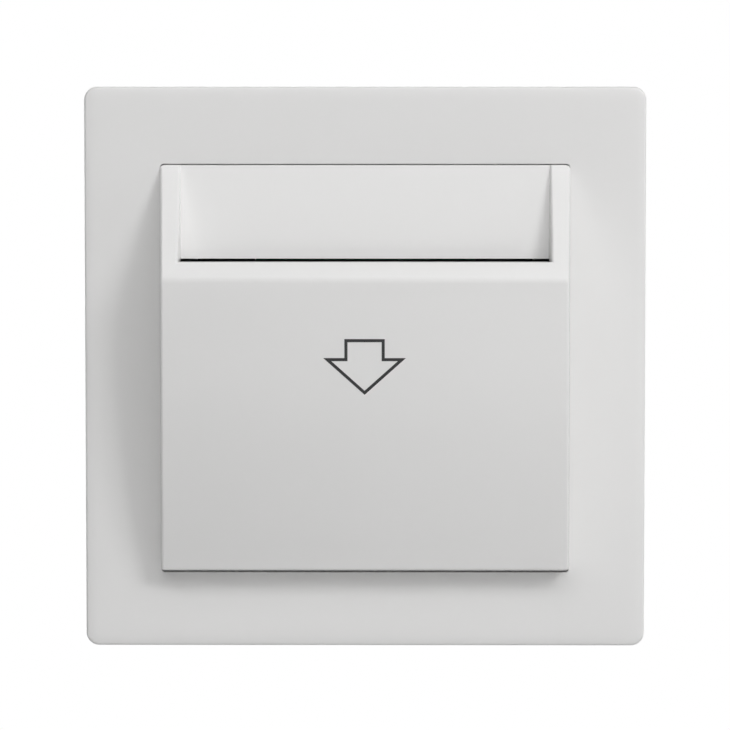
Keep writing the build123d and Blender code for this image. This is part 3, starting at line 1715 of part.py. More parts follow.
def driver_transistor():
    """Half-round transistor on three legs."""
    x, z = transistor_place
    low = component_seat + transistor_rise
    body = rod_y(transistor_radius, low, low + transistor_height, x, z)
    body -= slab(
        x - 2 * transistor_radius,
        x + 2 * transistor_radius,
        low - overrun,
        low + transistor_height + overrun,
        z + transistor_flat,
        z + 2 * transistor_radius,
    )
    for index in (-1, 0, 1):
        body += rod_y(
            leg_width / 2, lead_front, low + leg_width, x + index * transistor_pin_pitch, z
        )
    return body


def axial(radius, length, span, place):
    """Lying body with two leads bent down through the board."""
    x, z = place
    axis_y = component_seat + radius
    body = rod_x(radius, x - length / 2, x + length / 2, axis_y, z)
    body += rod_x(lead_radius, x - span / 2, x + span / 2, axis_y, z)
    for side in (-1, 1):
        elbow_x = x + side * span / 2
        body += Pos(elbow_x, axis_y, z) * Sphere(lead_radius)
        body += rod_y(lead_radius, lead_front, axis_y, elbow_x, z)
    return body


def flyback_diode():
    """Diode across the relay's coil."""
    return axial(diode_radius, diode_length, diode_span, diode_place)


def zener_diode():
    """Diode that sets the supply's voltage."""
    return axial(zener_radius, zener_length, zener_span, zener_place)


def resistors():
    """Three resistors with thicker end caps."""
    group = []
    for place in resistor_places:
        body = axial(resistor_waist_radius, resistor_length, resistor_span, place)
        axis_y = component_seat + resistor_waist_radius
        for side in (-1, 1):
            middle = place[0] + side * (resistor_length - resistor_cap_length) / 2
            low = middle - resistor_cap_length / 2
            cap = rod_x(resistor_radius, low, low + resistor_cap_length, axis_y, place[1])
            body += fillet(cap.edges().filter_by(GeomType.CIRCLE), resistor_cap_length / 4)
        group.append(body)
    return Compound(children=group)


def line_terminal():
    """Terminal of the incoming line."""
    return terminal_block(terminal_places()[0])


def load_terminal():
    """Terminal of the switched load."""
    return terminal_block(terminal_places()[1])


def neutral_terminal():
    """Terminal of the neutral wire."""
    return terminal_block(terminal_places()[2])


pieces = (
    surround_frame,
    front_cover,
    card_guide,
    card_lever,
    lever_pivot_pin,
    lever_spring,
    mounting_yoke,
    assembly_screws,
    rear_housing,
    circuit_board,
    board_screws,
    line_terminal,
    load_terminal,
    neutral_terminal,
    terminal_screws,
    microswitch_case,
    microswitch_base,
    microswitch_plunger,
    microswitch_blade,
    microswitch_common_terminal,
    microswitch_open_terminal,
    microswitch_closed_terminal,
    relay_cover,
    relay_base,
    relay_frame,
    relay_core,
    relay_bobbin,
    relay_winding,
    relay_armature,
    relay_contact_blade,
    relay_moving_contact,
    relay_fixed_contact,
    relay_contact_terminal,
    relay_return_spring,
    relay_coil_pins,
    smoothing_capacitor,
    timing_capacitor,
    dropper_capacitor,
    varistor,
    fuse,
    bridge_rectifier,
    timer_chip,
    driver_transistor,
    flyback_diode,
    zener_diode,
    resistors,
)

os.makedirs("parts", exist_ok=True)
for piece in pieces:
    export_step(piece(), f"parts/{piece.__name__}.step")
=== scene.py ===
"""Looks of a wall-mounted key card switch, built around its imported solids."""

import json
import logging
import math
from dataclasses import dataclass, field
from enum import Enum
from typing import Callable, Sequence

import bmesh
import bpy
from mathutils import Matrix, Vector
from mathutils.bvhtree import BVHTree


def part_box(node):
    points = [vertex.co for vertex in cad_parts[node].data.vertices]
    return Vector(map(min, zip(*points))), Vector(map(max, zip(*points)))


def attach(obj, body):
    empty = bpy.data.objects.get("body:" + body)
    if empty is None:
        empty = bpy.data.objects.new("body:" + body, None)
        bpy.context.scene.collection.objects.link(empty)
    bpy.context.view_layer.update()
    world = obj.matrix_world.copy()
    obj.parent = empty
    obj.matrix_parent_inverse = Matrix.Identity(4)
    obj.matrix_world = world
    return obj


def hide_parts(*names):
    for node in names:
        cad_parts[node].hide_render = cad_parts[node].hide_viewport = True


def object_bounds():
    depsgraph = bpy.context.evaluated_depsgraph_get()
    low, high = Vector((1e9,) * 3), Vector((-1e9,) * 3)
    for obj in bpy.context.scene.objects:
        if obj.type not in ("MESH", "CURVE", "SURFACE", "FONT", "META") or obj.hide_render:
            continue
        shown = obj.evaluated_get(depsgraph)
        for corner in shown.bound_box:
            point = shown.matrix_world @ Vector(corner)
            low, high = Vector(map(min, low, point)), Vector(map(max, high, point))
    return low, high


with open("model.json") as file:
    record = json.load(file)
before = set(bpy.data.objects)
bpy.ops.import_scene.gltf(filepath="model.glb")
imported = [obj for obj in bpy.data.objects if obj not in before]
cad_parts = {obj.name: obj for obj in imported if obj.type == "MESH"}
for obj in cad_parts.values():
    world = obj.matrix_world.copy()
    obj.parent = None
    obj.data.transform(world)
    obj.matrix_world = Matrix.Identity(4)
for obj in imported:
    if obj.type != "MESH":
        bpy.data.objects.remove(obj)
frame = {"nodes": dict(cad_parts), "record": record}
cad_low, cad_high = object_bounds()

MM = 0.001
SMOOTH_ANGLE = math.radians(28)
MERGE_DISTANCE = 0.0002 * MM
PHOTO_PIXELS = 730
LEAST_ROUGHNESS = 0.02
LOG = logging.getLogger("key_card_switch")

Colour = tuple[float, float, float]
Point = tuple[float, float, float]
Socket = bpy.types.NodeSocket


# Finishes


class Grain(Enum):
    """Direction in which a finish is drawn out."""

    EVEN = (1.0, 1.0, 1.0)
    ALONG_X = (0.08, 1.0, 1.0)
    ALONG_Z = (1.0, 1.0, 0.08)


@dataclass(frozen=True)
class Finish:
    """A procedural surface: colour, gloss, fine bump, and slow changes of roughness and tint."""

    name: str
    colour: Colour
    roughness: float
    metallic: float = 0.0
    grain_size: float = 0.35 * MM
    bump_height: float = 0.004 * MM
    roughness_spread: float = 0.05
    tint_spread: float = 0.02
    patch_size: float = 14 * MM
    coat: float = 0.0
    coat_roughness: float = 0.12
    specular: float = 0.5
    grain: Grain = Grain.EVEN
    grain_detail: float = 3.0
    patch_detail: float = 2.0

    def material(self) -> bpy.types.Material:
        """Makes the material at its first call, and gives the same one after that.

        Returns:
            The Blender material of this finish.
        """
        found = bpy.data.materials.get(self.name)
        if found:
            return found
        made = bpy.data.materials.new(self.name)
        made.use_nodes = True
        made.diffuse_color = (*self.colour, 1.0)
        self.wire(made.node_tree)
        return made

    def wire(self, tree: bpy.types.NodeTree) -> None:
        """Builds the surface's shader nodes.

        Args:
            tree: the material's node tree.
        """
        nodes, links = tree.nodes, tree.links
        shader = nodes["Principled BSDF"]
        shader.inputs["Metallic"].default_value = self.metallic
        shader.inputs["Specular IOR Level"].default_value = self.specular
        shader.inputs["Coat Weight"].default_value = self.coat
        shader.inputs["Coat Roughness"].default_value = self.coat_roughness
        place = nodes.new("ShaderNodeTexCoord")
        stretch = nodes.new("ShaderNodeMapping")
        stretch.inputs["Scale"].default_value = self.grain.value
        links.new(place.outputs["Object"], stretch.inputs["Vector"])
        fine = self.noise(tree, stretch.outputs["Vector"], self.grain_size, self.grain_detail)
        slow = self.noise(tree, place.outputs["Object"], self.patch_size, self.patch_detail)
        bump = nodes.new("ShaderNodeBump")
        bump.inputs["Strength"].default_value = 1.0
        bump.inputs["Distance"].default_value = self.bump_height
        links.new(fine, bump.inputs["Height"])
        links.new(bump.outputs["Normal"], shader.inputs["Normal"])
        gloss = nodes.new("ShaderNodeMapRange")
        smoothest = max(LEAST_ROUGHNESS, self.roughness - self.roughness_spread)
        gloss.inputs["To Min"].default_value = smoothest
        gloss.inputs["To Max"].default_value = min(1.0, self.roughness + self.roughness_spread)
        links.new(slow, gloss.inputs["Value"])
        links.new(gloss.outputs["Result"], shader.inputs["Roughness"])
        links.new(self.tinted(tree, slow), shader.inputs["Base Color"])

    def noise(self, tree: bpy.types.NodeTree, vector: Socket, size: float, detail: float) -> Socket:
        """Adds a noise texture.

        Args:
            tree: the node tree.
            vector: coordinates it reads.
            size: size of one blotch in metres.
            detail: number of finer layers.

        Returns:
            The noise value's socket.
        """
        node = tree.nodes.new("ShaderNodeTexNoise")
        node.inputs["Scale"].default_value = 1.0 / size
        node.inputs["Detail"].default_value = detail
        tree.links.new(vector, node.inputs["Vector"])
        return node.outputs["Fac"]

    def tinted(self, tree: bpy.types.NodeTree, value: Socket) -> Socket:
        """Adds the slow change of colour.

        Args:
            tree: the node tree.
            value: the noise that drives it.

        Returns:
            The colour's socket.
        """
        ramp = tree.nodes.new("ShaderNodeValToRGB")
        ramp.color_ramp.elements[0].color = (*(c * (1 - self.tint_spread) for c in self.colour), 1.0)
        ramp.color_ramp.elements[1].color = (
            *(min(1.0, c * (1 + self.tint_spread)) for c in self.colour), 1.0
        )
        tree.links.new(value, ramp.inputs["Fac"])
        return ramp.outputs["Color"]


@dataclass(frozen=True)
class BandedFinish(Finish):
    """A finish with coloured bands along the piece's X axis."""

    centre: float = 0.0
    half_length: float = 4 * MM
    bands: tuple[tuple[float, Colour], ...] = ()

    def tinted(self, tree: bpy.types.NodeTree, value: Socket) -> Socket:
        """Adds the bands, each from its start (a share of the length) to the next one's.

        Args:
            tree: the node tree.
            value: the slow noise, which the bands don't follow.

        Returns:
            The colour's socket.
        """
        nodes, links = tree.nodes, tree.links
        place = nodes.new("ShaderNodeTexCoord")
        centred = nodes.new("ShaderNodeMapping")
        scale = 1 / (2 * self.half_length)
        centred.inputs["Scale"].default_value = (scale, scale, scale)
        centred.inputs["Location"].default_value = ((self.half_length - self.centre) * scale, 0.0, 0.0)
        split = nodes.new("ShaderNodeSeparateXYZ")
        ramp = nodes.new("ShaderNodeValToRGB")
        ramp.color_ramp.interpolation = "CONSTANT"
        ramp.color_ramp.elements[0].color = (*self.colour, 1.0)
        ramp.color_ramp.elements.remove(ramp.color_ramp.elements[1])
        for start, colour in self.bands:
            ramp.color_ramp.elements.new(start).color = (*colour, 1.0)
        links.new(place.outputs["Object"], centred.inputs["Vector"])
        links.new(centred.outputs["Vector"], split.inputs["Vector"])
        links.new(split.outputs["X"], ramp.inputs["Fac"])
        return ramp.outputs["Color"]


@dataclass(frozen=True)
class BoardFinish(Finish):
    """Solder mask over copper tracks."""

    track: Colour = (0.028, 0.245, 0.112)
    track_pitch: float = 8.0 * MM
    track_share: float = 0.035

    def tinted(self, tree: bpy.types.NodeTree, value: Socket) -> Socket:
        """Adds the paler tracks that show through the mask.

        Args:
            tree: the node tree.
            value: the slow noise, which the tracks don't follow.

        Returns:
            The colour's socket.
        """
        nodes, links = tree.nodes, tree.links
        place = nodes.new("ShaderNodeTexCoord")
        turned = nodes.new("ShaderNodeMapping")
        turned.inputs["Rotation"].default_value = (math.pi / 2, 0, 0)
        bricks = nodes.new("ShaderNodeTexBrick")
        bricks.inputs["Scale"].default_value = 1 / self.track_pitch
        for label, colour in (("Color1", self.colour), ("Color2", self.colour), ("Mortar", self.track)):
            bricks.inputs[label].default_value = (*colour, 1.0)
        bricks.inputs["Mortar Size"].default_value = self.track_share
        links.new(place.outputs["Object"], turned.inputs["Vector"])
        links.new(turned.outputs["Vector"], bricks.inputs["Vector"])
        return bricks.outputs["Color"]


WHITE = (0.88, 0.876, 0.87)
FRAME_WHITE = Finish(
    "frame_white_gloss", WHITE, 0.3, bump_height=0.0012 * MM, roughness_spread=0.012, tint_spread=0.003
)
COVER_WHITE = Finish(
    "cover_white_gloss", WHITE, 0.26, bump_height=0.001 * MM, roughness_spread=0.012, tint_spread=0.003
)
PRINT_BLACK = Finish("printed_black_ink", (0.014, 0.014, 0.015), 0.5, bump_height=0.0005 * MM)
GUIDE_BLACK = Finish("guide_black_grained", (0.016, 0.016, 0.017), 0.55)
LEVER_BLACK = Finish("lever_black_glass_filled", (0.026, 0.026, 0.028), 0.42)
YOKE_GREY = Finish("yoke_grey_grained", (0.60, 0.61, 0.62), 0.5, bump_height=0.008 * MM)
HOUSING_GREY = Finish("housing_grey_grained", (0.53, 0.54, 0.55), 0.5, bump_height=0.008 * MM)
ZINC = Finish("zinc_plated_steel", (0.70, 0.70, 0.67), 0.28, 1.0, tint_spread=0.05)
PIN_STEEL = Finish("ground_pin_steel", (0.62, 0.62, 0.63), 0.2, 1.0, grain=Grain.ALONG_X)
SPRING_STEEL = Finish("spring_steel_wire", (0.42, 0.42, 0.43), 0.3, 1.0)
BRASS = Finish("sawn_brass", (0.76, 0.57, 0.26), 0.3, 1.0, grain=Grain.ALONG_Z, tint_spread=0.06)
BRONZE = Finish("bronze_strip", (0.70, 0.42, 0.22), 0.28, 1.0, grain=Grain.ALONG_X)
SILVER = Finish("silver_contact", (0.84, 0.83, 0.80), 0.18, 1.0)
TINNED = Finish("tinned_wire", (0.72, 0.72, 0.71), 0.3, 1.0)
SOLDER = Finish("solder", (0.60, 0.60, 0.60), 0.26, 1.0, grain_size=0.8 * MM)
SOFT_IRON = Finish("nickel_plated_iron", (0.55, 0.55, 0.54), 0.32, 1.0, grain=Grain.ALONG_Z)
RELAY_BLUE = Finish("relay_blue_moulding", (0.03, 0.12, 0.38), 0.3)
BLACK_MOULDING = Finish("black_epoxy_moulding", (0.022, 0.022, 0.024), 0.48)
PLUNGER_RED = Finish("plunger_red_moulding", (0.50, 0.04, 0.03), 0.4)
BOBBIN_WHITE = Finish("bobbin_natural_nylon", (0.74, 0.72, 0.66), 0.45)
WINDING = Finish("enamelled_copper", (0.60, 0.20, 0.07), 0.25, 0.8, coat=0.4)
FILM_RED = Finish("film_capacitor_resin", (0.48, 0.05, 0.03), 0.3, coat=0.3)
VARISTOR_BLUE = Finish("varistor_coat", (0.04, 0.17, 0.44), 0.35, bump_height=0.01 * MM)
FUSE_BROWN = Finish("fuse_brown_moulding", (0.13, 0.06, 0.03), 0.45)
BOARD = BoardFinish("board_solder_mask", (0.02, 0.20, 0.09), 0.35, coat=0.2)


# Meshes


def new_piece(name: str, mesh: bpy.types.Mesh, body: str) -> bpy.types.Object:
    """Links a mesh as a piece at the origin.

    Args:
        name: the piece's name.
        mesh: its mesh, placed in the frame.
        body: the body it rides on.

    Returns:
        The new object.
    """
    mesh.name = name
    piece = bpy.data.objects.new(name, mesh)
    bpy.context.scene.collection.objects.link(piece)
    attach(piece, body)
    return piece


def clean(mesh: bpy.types.Mesh, merge: bool = True, turn_out: bool = True) -> None:
    """Joins a mesh's doubled points and turns its faces outwards.

    Args:
        mesh: the mesh, changed in place.
        merge: whether doubled points are joined.
        turn_out: whether faces are turned outwards.
    """
    work = bmesh.new()
    work.from_mesh(mesh)
    if merge:
        bmesh.ops.remove_doubles(work, verts=work.verts, dist=MERGE_DISTANCE)
    if turn_out:
        bmesh.ops.recalc_face_normals(work, faces=work.faces)
    work.to_mesh(mesh)
    work.free()


def smooth_by_angle(mesh: bpy.types.Mesh) -> None:
    """Shades a merged mesh smooth, but for edges sharper than SMOOTH_ANGLE.

    Args:
        mesh: the mesh, changed in place.
    """
    work = bmesh.new()
    work.from_mesh(mesh)
    for face in work.faces:
        face.smooth = True
    for edge in work.edges:
        inner = len(edge.link_faces) == 2
        edge.smooth = inner and edge.calc_face_angle(math.pi) < SMOOTH_ANGLE
    work.to_mesh(mesh)
    work.free()


def merged_copy(node: str) -> bpy.types.Mesh:
    """Copies a node's mesh with its loose triangles joined.

    Args:
        node: the node's name.

    Returns:
        The joined, smoothly shaded mesh.
    """
    mesh = frame["nodes"][node].data.copy()
    mesh.materials.clear()
    clean(mesh, turn_out=False)
    if "custom_normal" in mesh.attributes:
        mesh.attributes.remove(mesh.attributes["custom_normal"])
    smooth_by_angle(mesh)
    return mesh


def dress(
    node: str,
    finish: Finish,
    second: Finish | None = None,
    is_second: Callable[[Vector], bool] | None = None,
) -> bpy.types.Object:
    """Stands a smooth copy of a node in its place.

    Args:
        node: the node's name.
        finish: its finish.
        second: the finish of the faces that is_second picks, such as its leads.
        is_second: says of a face's centre, in metres, whether it takes the second finish.

    Returns:
        The new piece.
    """
    mesh = merged_copy(node)
    mesh.materials.append(finish.material())
    if second is not None and is_second is not None:
        mesh.materials.append(second.material())
        for face in mesh.polygons:
            face.material_index = 1 if is_second(face.center) else 0
    piece = new_piece(node + "_shown", mesh, body_of_node(node))
    finish_off(piece, node)
    return piece


def dress_all(finish: Finish, *nodes: str) -> None:
    """Dresses nodes with one finish, in the order given."""
    for node in nodes:
        dress(node, finish)


def finish_off(piece: bpy.types.Object, node: str) -> None:
    """Hides the node that a piece stands for, and reports it.

    Args:
        piece: the finished piece.
        node: the node that it replaces.
    """
    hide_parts(node)
    LOG.info("%s stands for %s with %d faces", piece.name, node, len(piece.data.polygons))


def body_of_node(node: str) -> str:
    """Looks up the body that holds a node.

    Args:
        node: the node's name.

    Returns:
        The body's name.
    """
    for body, members in frame["record"]["behaviour"]["bodies"].items():
        if node in members:
            return body
    raise ValueError(node)


def centre_of(node: str) -> Vector:
    """Returns the middle of a node's box."""
    low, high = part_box(node)
    return (low + high) / 2


# Geometry Nodes

SHANK_SIDES = 28
RIDGE_SIDES = 4
HEAD_SIDES = 40
HEAD_TOP_SHARE = 0.86
SOLDER_SIDES = 14
SOLDER_RINGS = 2


@dataclass
class Tree:
    """A Geometry Nodes tree with named inputs, and its way onto a mesh."""

    name: str
    sizes: dict[str, float]
    counts: dict[str, int] = field(default_factory=dict)
    sockets: dict[str, str] = field(init=False, default_factory=dict)
    group: bpy.types.NodeTree = field(init=False)
    source: bpy.types.Node = field(init=False)
    sink: bpy.types.Node = field(init=False)

    def __post_init__(self) -> None:
        """Makes the empty tree and its inputs."""
        self.group = bpy.data.node_groups.new(self.name, "GeometryNodeTree")
        face = self.group.interface
        face.new_socket("Geometry", in_out="INPUT", socket_type="NodeSocketGeometry")
        for kind, values in (("NodeSocketFloat", self.sizes), ("NodeSocketInt", self.counts)):
            for label, value in values.items():
                made = face.new_socket(label, in_out="INPUT", socket_type=kind)
                made.default_value = value
                self.sockets[label] = made.identifier
        made = face.new_socket("Finish", in_out="INPUT", socket_type="NodeSocketMaterial")
        self.sockets["Finish"] = made.identifier
        face.new_socket("Geometry", in_out="OUTPUT", socket_type="NodeSocketGeometry")
        self.source = self.group.nodes.new("NodeGroupInput")
        self.sink = self.group.nodes.new("NodeGroupOutput")

    def add(self, kind: str, **settings: object) -> bpy.types.Node:
        """Adds a node.

        Args:
            kind: the node's type.
            settings: properties, and inputs by name with spaces as underscores.

        Returns:
            The new node.
        """
        node = self.group.nodes.new(kind)
        properties = {key: value for key, value in settings.items() if hasattr(node, key)}
        for key, value in properties.items():
            setattr(node, key, value)
        for key, value in settings.items():
            if key not in properties:
                label = key.replace("_", " ")
                self.feed(next(s for s in node.inputs if s.name == label and s.enabled), value)
        return node

    def feed(self, socket: Socket, value: object) -> None:
        """Links a socket to another one, or sets its value.

        Args:
            socket: the input to feed.
            value: an output socket, or a constant.
        """
        if isinstance(value, Socket):
            self.group.links.new(value, socket)
        else:
            socket.default_value = value

    def size(self, label: str) -> Socket:
        """Returns the socket of a named input."""
        return self.source.outputs[label]

    def maths(self, operation: str, one: Socket | float, two: Socket | float) -> Socket:
        """Adds a Math node.

        Args:
            operation: such as MULTIPLY.
            one: its first value.
            two: its second value.

        Returns:
            The result's socket.
        """
        node = self.add("ShaderNodeMath", operation=operation)
        for socket, value in zip(node.inputs, (one, two)):
            self.feed(socket, value)
        return node.outputs[0]

    def vector(self, **parts: Socket) -> Socket:
        """Adds a vector of the given X, Y and Z, with zero for the rest, and returns its socket."""
        return self.add("ShaderNodeCombineXYZ", **parts).outputs[0]

    def moved(self, geometry: Socket, **settings: object) -> Socket:
        """Adds a Transform Geometry node with the given inputs, and returns what it moved."""
        return self.add("GeometryNodeTransform", Geometry=geometry, **settings).outputs[0]

    def swept(self, path: Socket, radius: Socket, sides: Socket | int) -> Socket:
        """Sweeps a capped round section along a curve.

        Args:
            path: the curve.
            radius: the section's radius.
            sides: how many sides the section has, as a socket or a number.

        Returns:
            The solid's socket.
        """
        ring = self.add("GeometryNodeCurvePrimitiveCircle", Resolution=sides, Radius=radius)
        solid = self.add(
            "GeometryNodeCurveToMesh", Curve=path, Profile_Curve=ring.outputs[0], Fill_Caps=True
        )
        return solid.outputs[0]

    def stand(self, shape: Socket) -> None:
        """Ends the tree with a shape on each point of the mesh that it reads."""
        stood = self.add("GeometryNodeInstanceOnPoints", Points=self.source.outputs[0], Instance=shape)
        self.close(stood.outputs[0])

    def close(self, geometry: Socket) -> None:
        """Ends the tree in Realize Instances and Set Material.

        Args:
            geometry: what the tree made.
        """
        whole = self.add("GeometryNodeRealizeInstances", Geometry=geometry)
        shade = self.add("GeometryNodeSetShadeSmooth", Geometry=whole.outputs[0], Shade_Smooth=True)
        dressed = self.add(
            "GeometryNodeSetMaterial", Geometry=shade.outputs[0], Material=self.size("Finish")
        )
        self.feed(self.sink.inputs[0], dressed.outputs[0])

    def run(self, name: str, seed: bpy.types.Mesh, body: str, finish: Finish) -> bpy.types.Object:
        """Runs the tree on a mesh and keeps the result as a plain piece.

        Args:
            name: the new piece's name.
            seed: the mesh that the tree reads, in the frame.
            body: the body the piece rides on.
            finish: its finish.

        Returns:
            The new piece.
        """
        holder = bpy.data.objects.new(name + "_seed", seed)
        bpy.context.scene.collection.objects.link(holder)
        modifier = holder.modifiers.new(self.name, "NODES")
        modifier.node_group = self.group
        modifier[self.sockets["Finish"]] = finish.material()
        for label, value in {**self.sizes, **self.counts}.items():
            modifier[self.sockets[label]] = value
        depsgraph = bpy.context.evaluated_depsgraph_get()
        mesh = bpy.data.meshes.new_from_object(holder.evaluated_get(depsgraph))
        bpy.data.objects.remove(holder)
        clean(mesh)
        smooth_by_angle(mesh)
        piece = new_piece(name, mesh, body)
        LOG.info("%s has %d faces", name, len(mesh.polygons))
        return piece


def seed_mesh(points: Sequence[Point], joined: bool = False) -> bpy.types.Mesh:
    """Makes the mesh that a tree reads.

    Args:
        points: its points in metres.
        joined: whether edges join them in order, as an open path.

    Returns:
        The mesh.
    """
    edges = [(i, i + 1) for i in range(len(points) - 1)] if joined else []
    mesh = bpy.data.meshes.new("seed")
    mesh.from_pydata(points, edges, [])
    return mesh


def wire_tree(radius: float, sides: int) -> Tree:
    """Makes a tree that lays round wire along a mesh's edges.

    Args:
        radius: the wire's radius.
        sides: how many sides its section has.

    Returns:
        The tree.
    """
    tree = Tree("wire_along_path", {"Radius": radius}, {"Sides": sides})
    line = tree.add("GeometryNodeMeshToCurve", Mesh=tree.source.outputs[0])
    tree.close(tree.swept(line.outputs[0], tree.size("Radius"), tree.size("Sides")))
    return tree


def screw_tree(sizes: dict[str, float]) -> Tree:
    """Makes a tree that stands a threaded, cross-recessed screw on each point, head towards +Y.

    Args:
        sizes: the screw's sizes by input name.

    Returns:
        The tree.
    """
    tree = Tree("cross_recessed_screw", sizes)
    length, core_radius = tree.size("Shank Length"), tree.size("Core Radius")
    thread_length = tree.maths("SUBTRACT", length, tree.size("Thread Pitch"))
    helix = tree.add(
        "GeometryNodeCurveSpiral",
        Resolution=SHANK_SIDES,
        Rotations=tree.maths("DIVIDE", thread_length, tree.size("Thread Pitch")),
        Start_Radius=core_radius,
        End_Radius=core_radius,
        Height=thread_length,
    )
    depth = tree.maths("SUBTRACT", tree.size("Thread Radius"), core_radius)
    thread = tree.swept(helix.outputs[0], depth, RIDGE_SIDES)
    core = tree.add(
        "GeometryNodeMeshCylinder", Vertices=SHANK_SIDES, Radius=core_radius, Depth=length
    )
    head = tree.add(
        "GeometryNodeMeshCone",
        Vertices=HEAD_SIDES,
        Side_Segments=1,
        Radius_Top=tree.maths("MULTIPLY", tree.size("Head Radius"), HEAD_TOP_SHARE),
        Radius_Bottom=tree.size("Head Radius"),
        Depth=tree.size("Head Height"),
    ).outputs[0]
    width = tree.size("Recess Width")
    reach = tree.maths("MULTIPLY", tree.size("Recess Reach"), 2.0)
    deep = tree.maths("MULTIPLY", tree.size("Recess Depth"), 2.0)
    top = tree.vector(Z=tree.size("Head Height"))
    for block in (tree.vector(X=reach, Y=width, Z=deep), tree.vector(X=width, Y=reach, Z=deep)):
        slot = tree.add("GeometryNodeMeshCube", Size=block)
        cut = tree.add("GeometryNodeMeshBoolean", operation="DIFFERENCE")
        tree.feed(cut.inputs[0], head)
        tree.feed(cut.inputs[1], tree.moved(slot.outputs[0], Translation=top))
        head = cut.outputs[0]
    thread_foot = tree.vector(Z=tree.maths("MULTIPLY", length, -1.0))
    core_middle = tree.vector(Z=tree.maths("MULTIPLY", length, -0.5))
    joined = tree.add("GeometryNodeJoinGeometry")
    tree.feed(joined.inputs[0], tree.moved(thread, Translation=thread_foot))
    tree.feed(joined.inputs[0], tree.moved(core.outputs[0], Translation=core_middle))
    tree.feed(joined.inputs[0], head)
    tree.stand(tree.moved(joined.outputs[0], Rotation=(-math.pi / 2, 0, 0)))
    return tree


def solder_tree(radius: float, height: float, tip_radius: float) -> Tree:
    """Makes a tree that sets a solder cone on each point, with its tip towards -Y.

    Args:
        radius: the cone's radius on the board.
        height: its height.
        tip_radius: its radius at the lead's end.

    Returns:
        The tree.
    """
    tree = Tree("solder_fillets", {"Radius": radius, "Height": height, "Tip Radius": tip_radius})
    cone = tree.add(
        "GeometryNodeMeshCone",
        Vertices=SOLDER_SIDES,
        Side_Segments=SOLDER_RINGS,
        Radius_Top=tree.size("Tip Radius"),
        Radius_Bottom=tree.size("Radius"),
        Depth=tree.size("Height"),
    )
    tree.stand(tree.moved(cone.outputs[0], Rotation=(math.pi / 2, 0, 0)))
    return tree


# Sub-assemblies


@dataclass
class FacePlate:
    """Surround frame, front cover and the arrow printed on it."""

    arrow_top: float = 4.97 * MM
    arrow_point: float = -3.53 * MM
    shoulder: float = 2.08 * MM
    stem_half_width: float = 3.05 * MM
    head_half_width: float = 6.25 * MM
    line_width: float = 0.47 * MM
    ink_height: float = 0.02 * MM
    steps_per_edge: int = 8
    sharpest_mitre: float = 0.2

    def build(self) -> None:
        """Builds the three pieces."""
        dress("surround_frame", FRAME_WHITE)
        cover = dress("front_cover", COVER_WHITE)
        self.print_arrow(cover)

    def outline(self, inset: float) -> list[tuple[float, float]]:
        """Draws the arrow.

        Args:
            inset: how far its edges are moved inwards.

        Returns:
            Its mitred (x, z) corners.
        """
        stem, head = self.stem_half_width, self.head_half_width
        corners = [
            (-stem, self.arrow_top),
            (stem, self.arrow_top),
            (stem, self.shoulder),
            (head, self.shoulder),
            (0.0, self.arrow_point),
            (-head, self.shoulder),
            (-stem, self.shoulder),
        ]
        moved = []
        for i, corner in enumerate(corners):
            here = Vector(corner)
            back = (here - Vector(corners[i - 1])).normalized()
            ahead = (Vector(corners[(i + 1) % len(corners)]) - here).normalized()
            normal_back = Vector((back.y, -back.x))
            normal_ahead = Vector((ahead.y, -ahead.x))
            bisector = (normal_back + normal_ahead).normalized()
            reach = inset / max(self.sharpest_mitre, bisector.dot(normal_back))
            moved.append(tuple(here + bisector * reach))
        return moved

    def print_arrow(self, cover: bpy.types.Object) -> None:
        """Lays the outlined arrow on the curved front face, as a thin raised line.

        Args:
            cover: the piece that carries the print.
        """
        outer = self.divided(self.outline(0.0))
        inner = self.divided(self.outline(self.line_width))
        surface = BVHTree.FromPolygons(
            [v.co for v in cover.data.vertices], [tuple(p.vertices) for p in cover.data.polygons]
        )
        start = cad_low.y - self.line_width
        points: list[Vector] = []
        for lift in (self.ink_height, -self.ink_height):
            for x, z in outer + inner:
                hit = surface.ray_cast(Vector((x, start, z)), Vector((0, 1, 0)))[0]
                points.append(hit - Vector((0, lift, 0)))
        count = len(outer)
        faces = []
        low = 2 * count
        for here in range(count):
            ahead = (here + 1) % count
            inner_ahead, inner_here = count + ahead, count + here
            faces.append((here, ahead, inner_ahead, inner_here))
            faces.append((low + inner_here, low + inner_ahead, low + ahead, low + here))
            faces.append((ahead, here, low + here, low + ahead))
            faces.append((inner_here, inner_ahead, low + inner_ahead, low + inner_here))
        mesh = bpy.data.meshes.new("arrow")
        mesh.from_pydata(points, [], faces)
        clean(mesh, merge=False)
        mesh.materials.append(PRINT_BLACK.material())
        arrow = new_piece("printed_arrow", mesh, body_of_node("front_cover"))
        LOG.info("%s has %d faces", arrow.name, len(mesh.polygons))

    def divided(self, corners: list[tuple[float, float]]) -> list[tuple[float, float]]:
        """Cuts each edge of an outline into steps, so that it follows the curved face.

        Args:
            corners: the outline's corners.

        Returns:
            The points of all steps.
        """
        points = []
        for i, one in enumerate(corners):
            two = corners[(i + 1) % len(corners)]
            for step in range(self.steps_per_edge):
                share = step / self.steps_per_edge
                points.append(tuple(start + (end - start) * share for start, end in zip(one, two)))
        return points


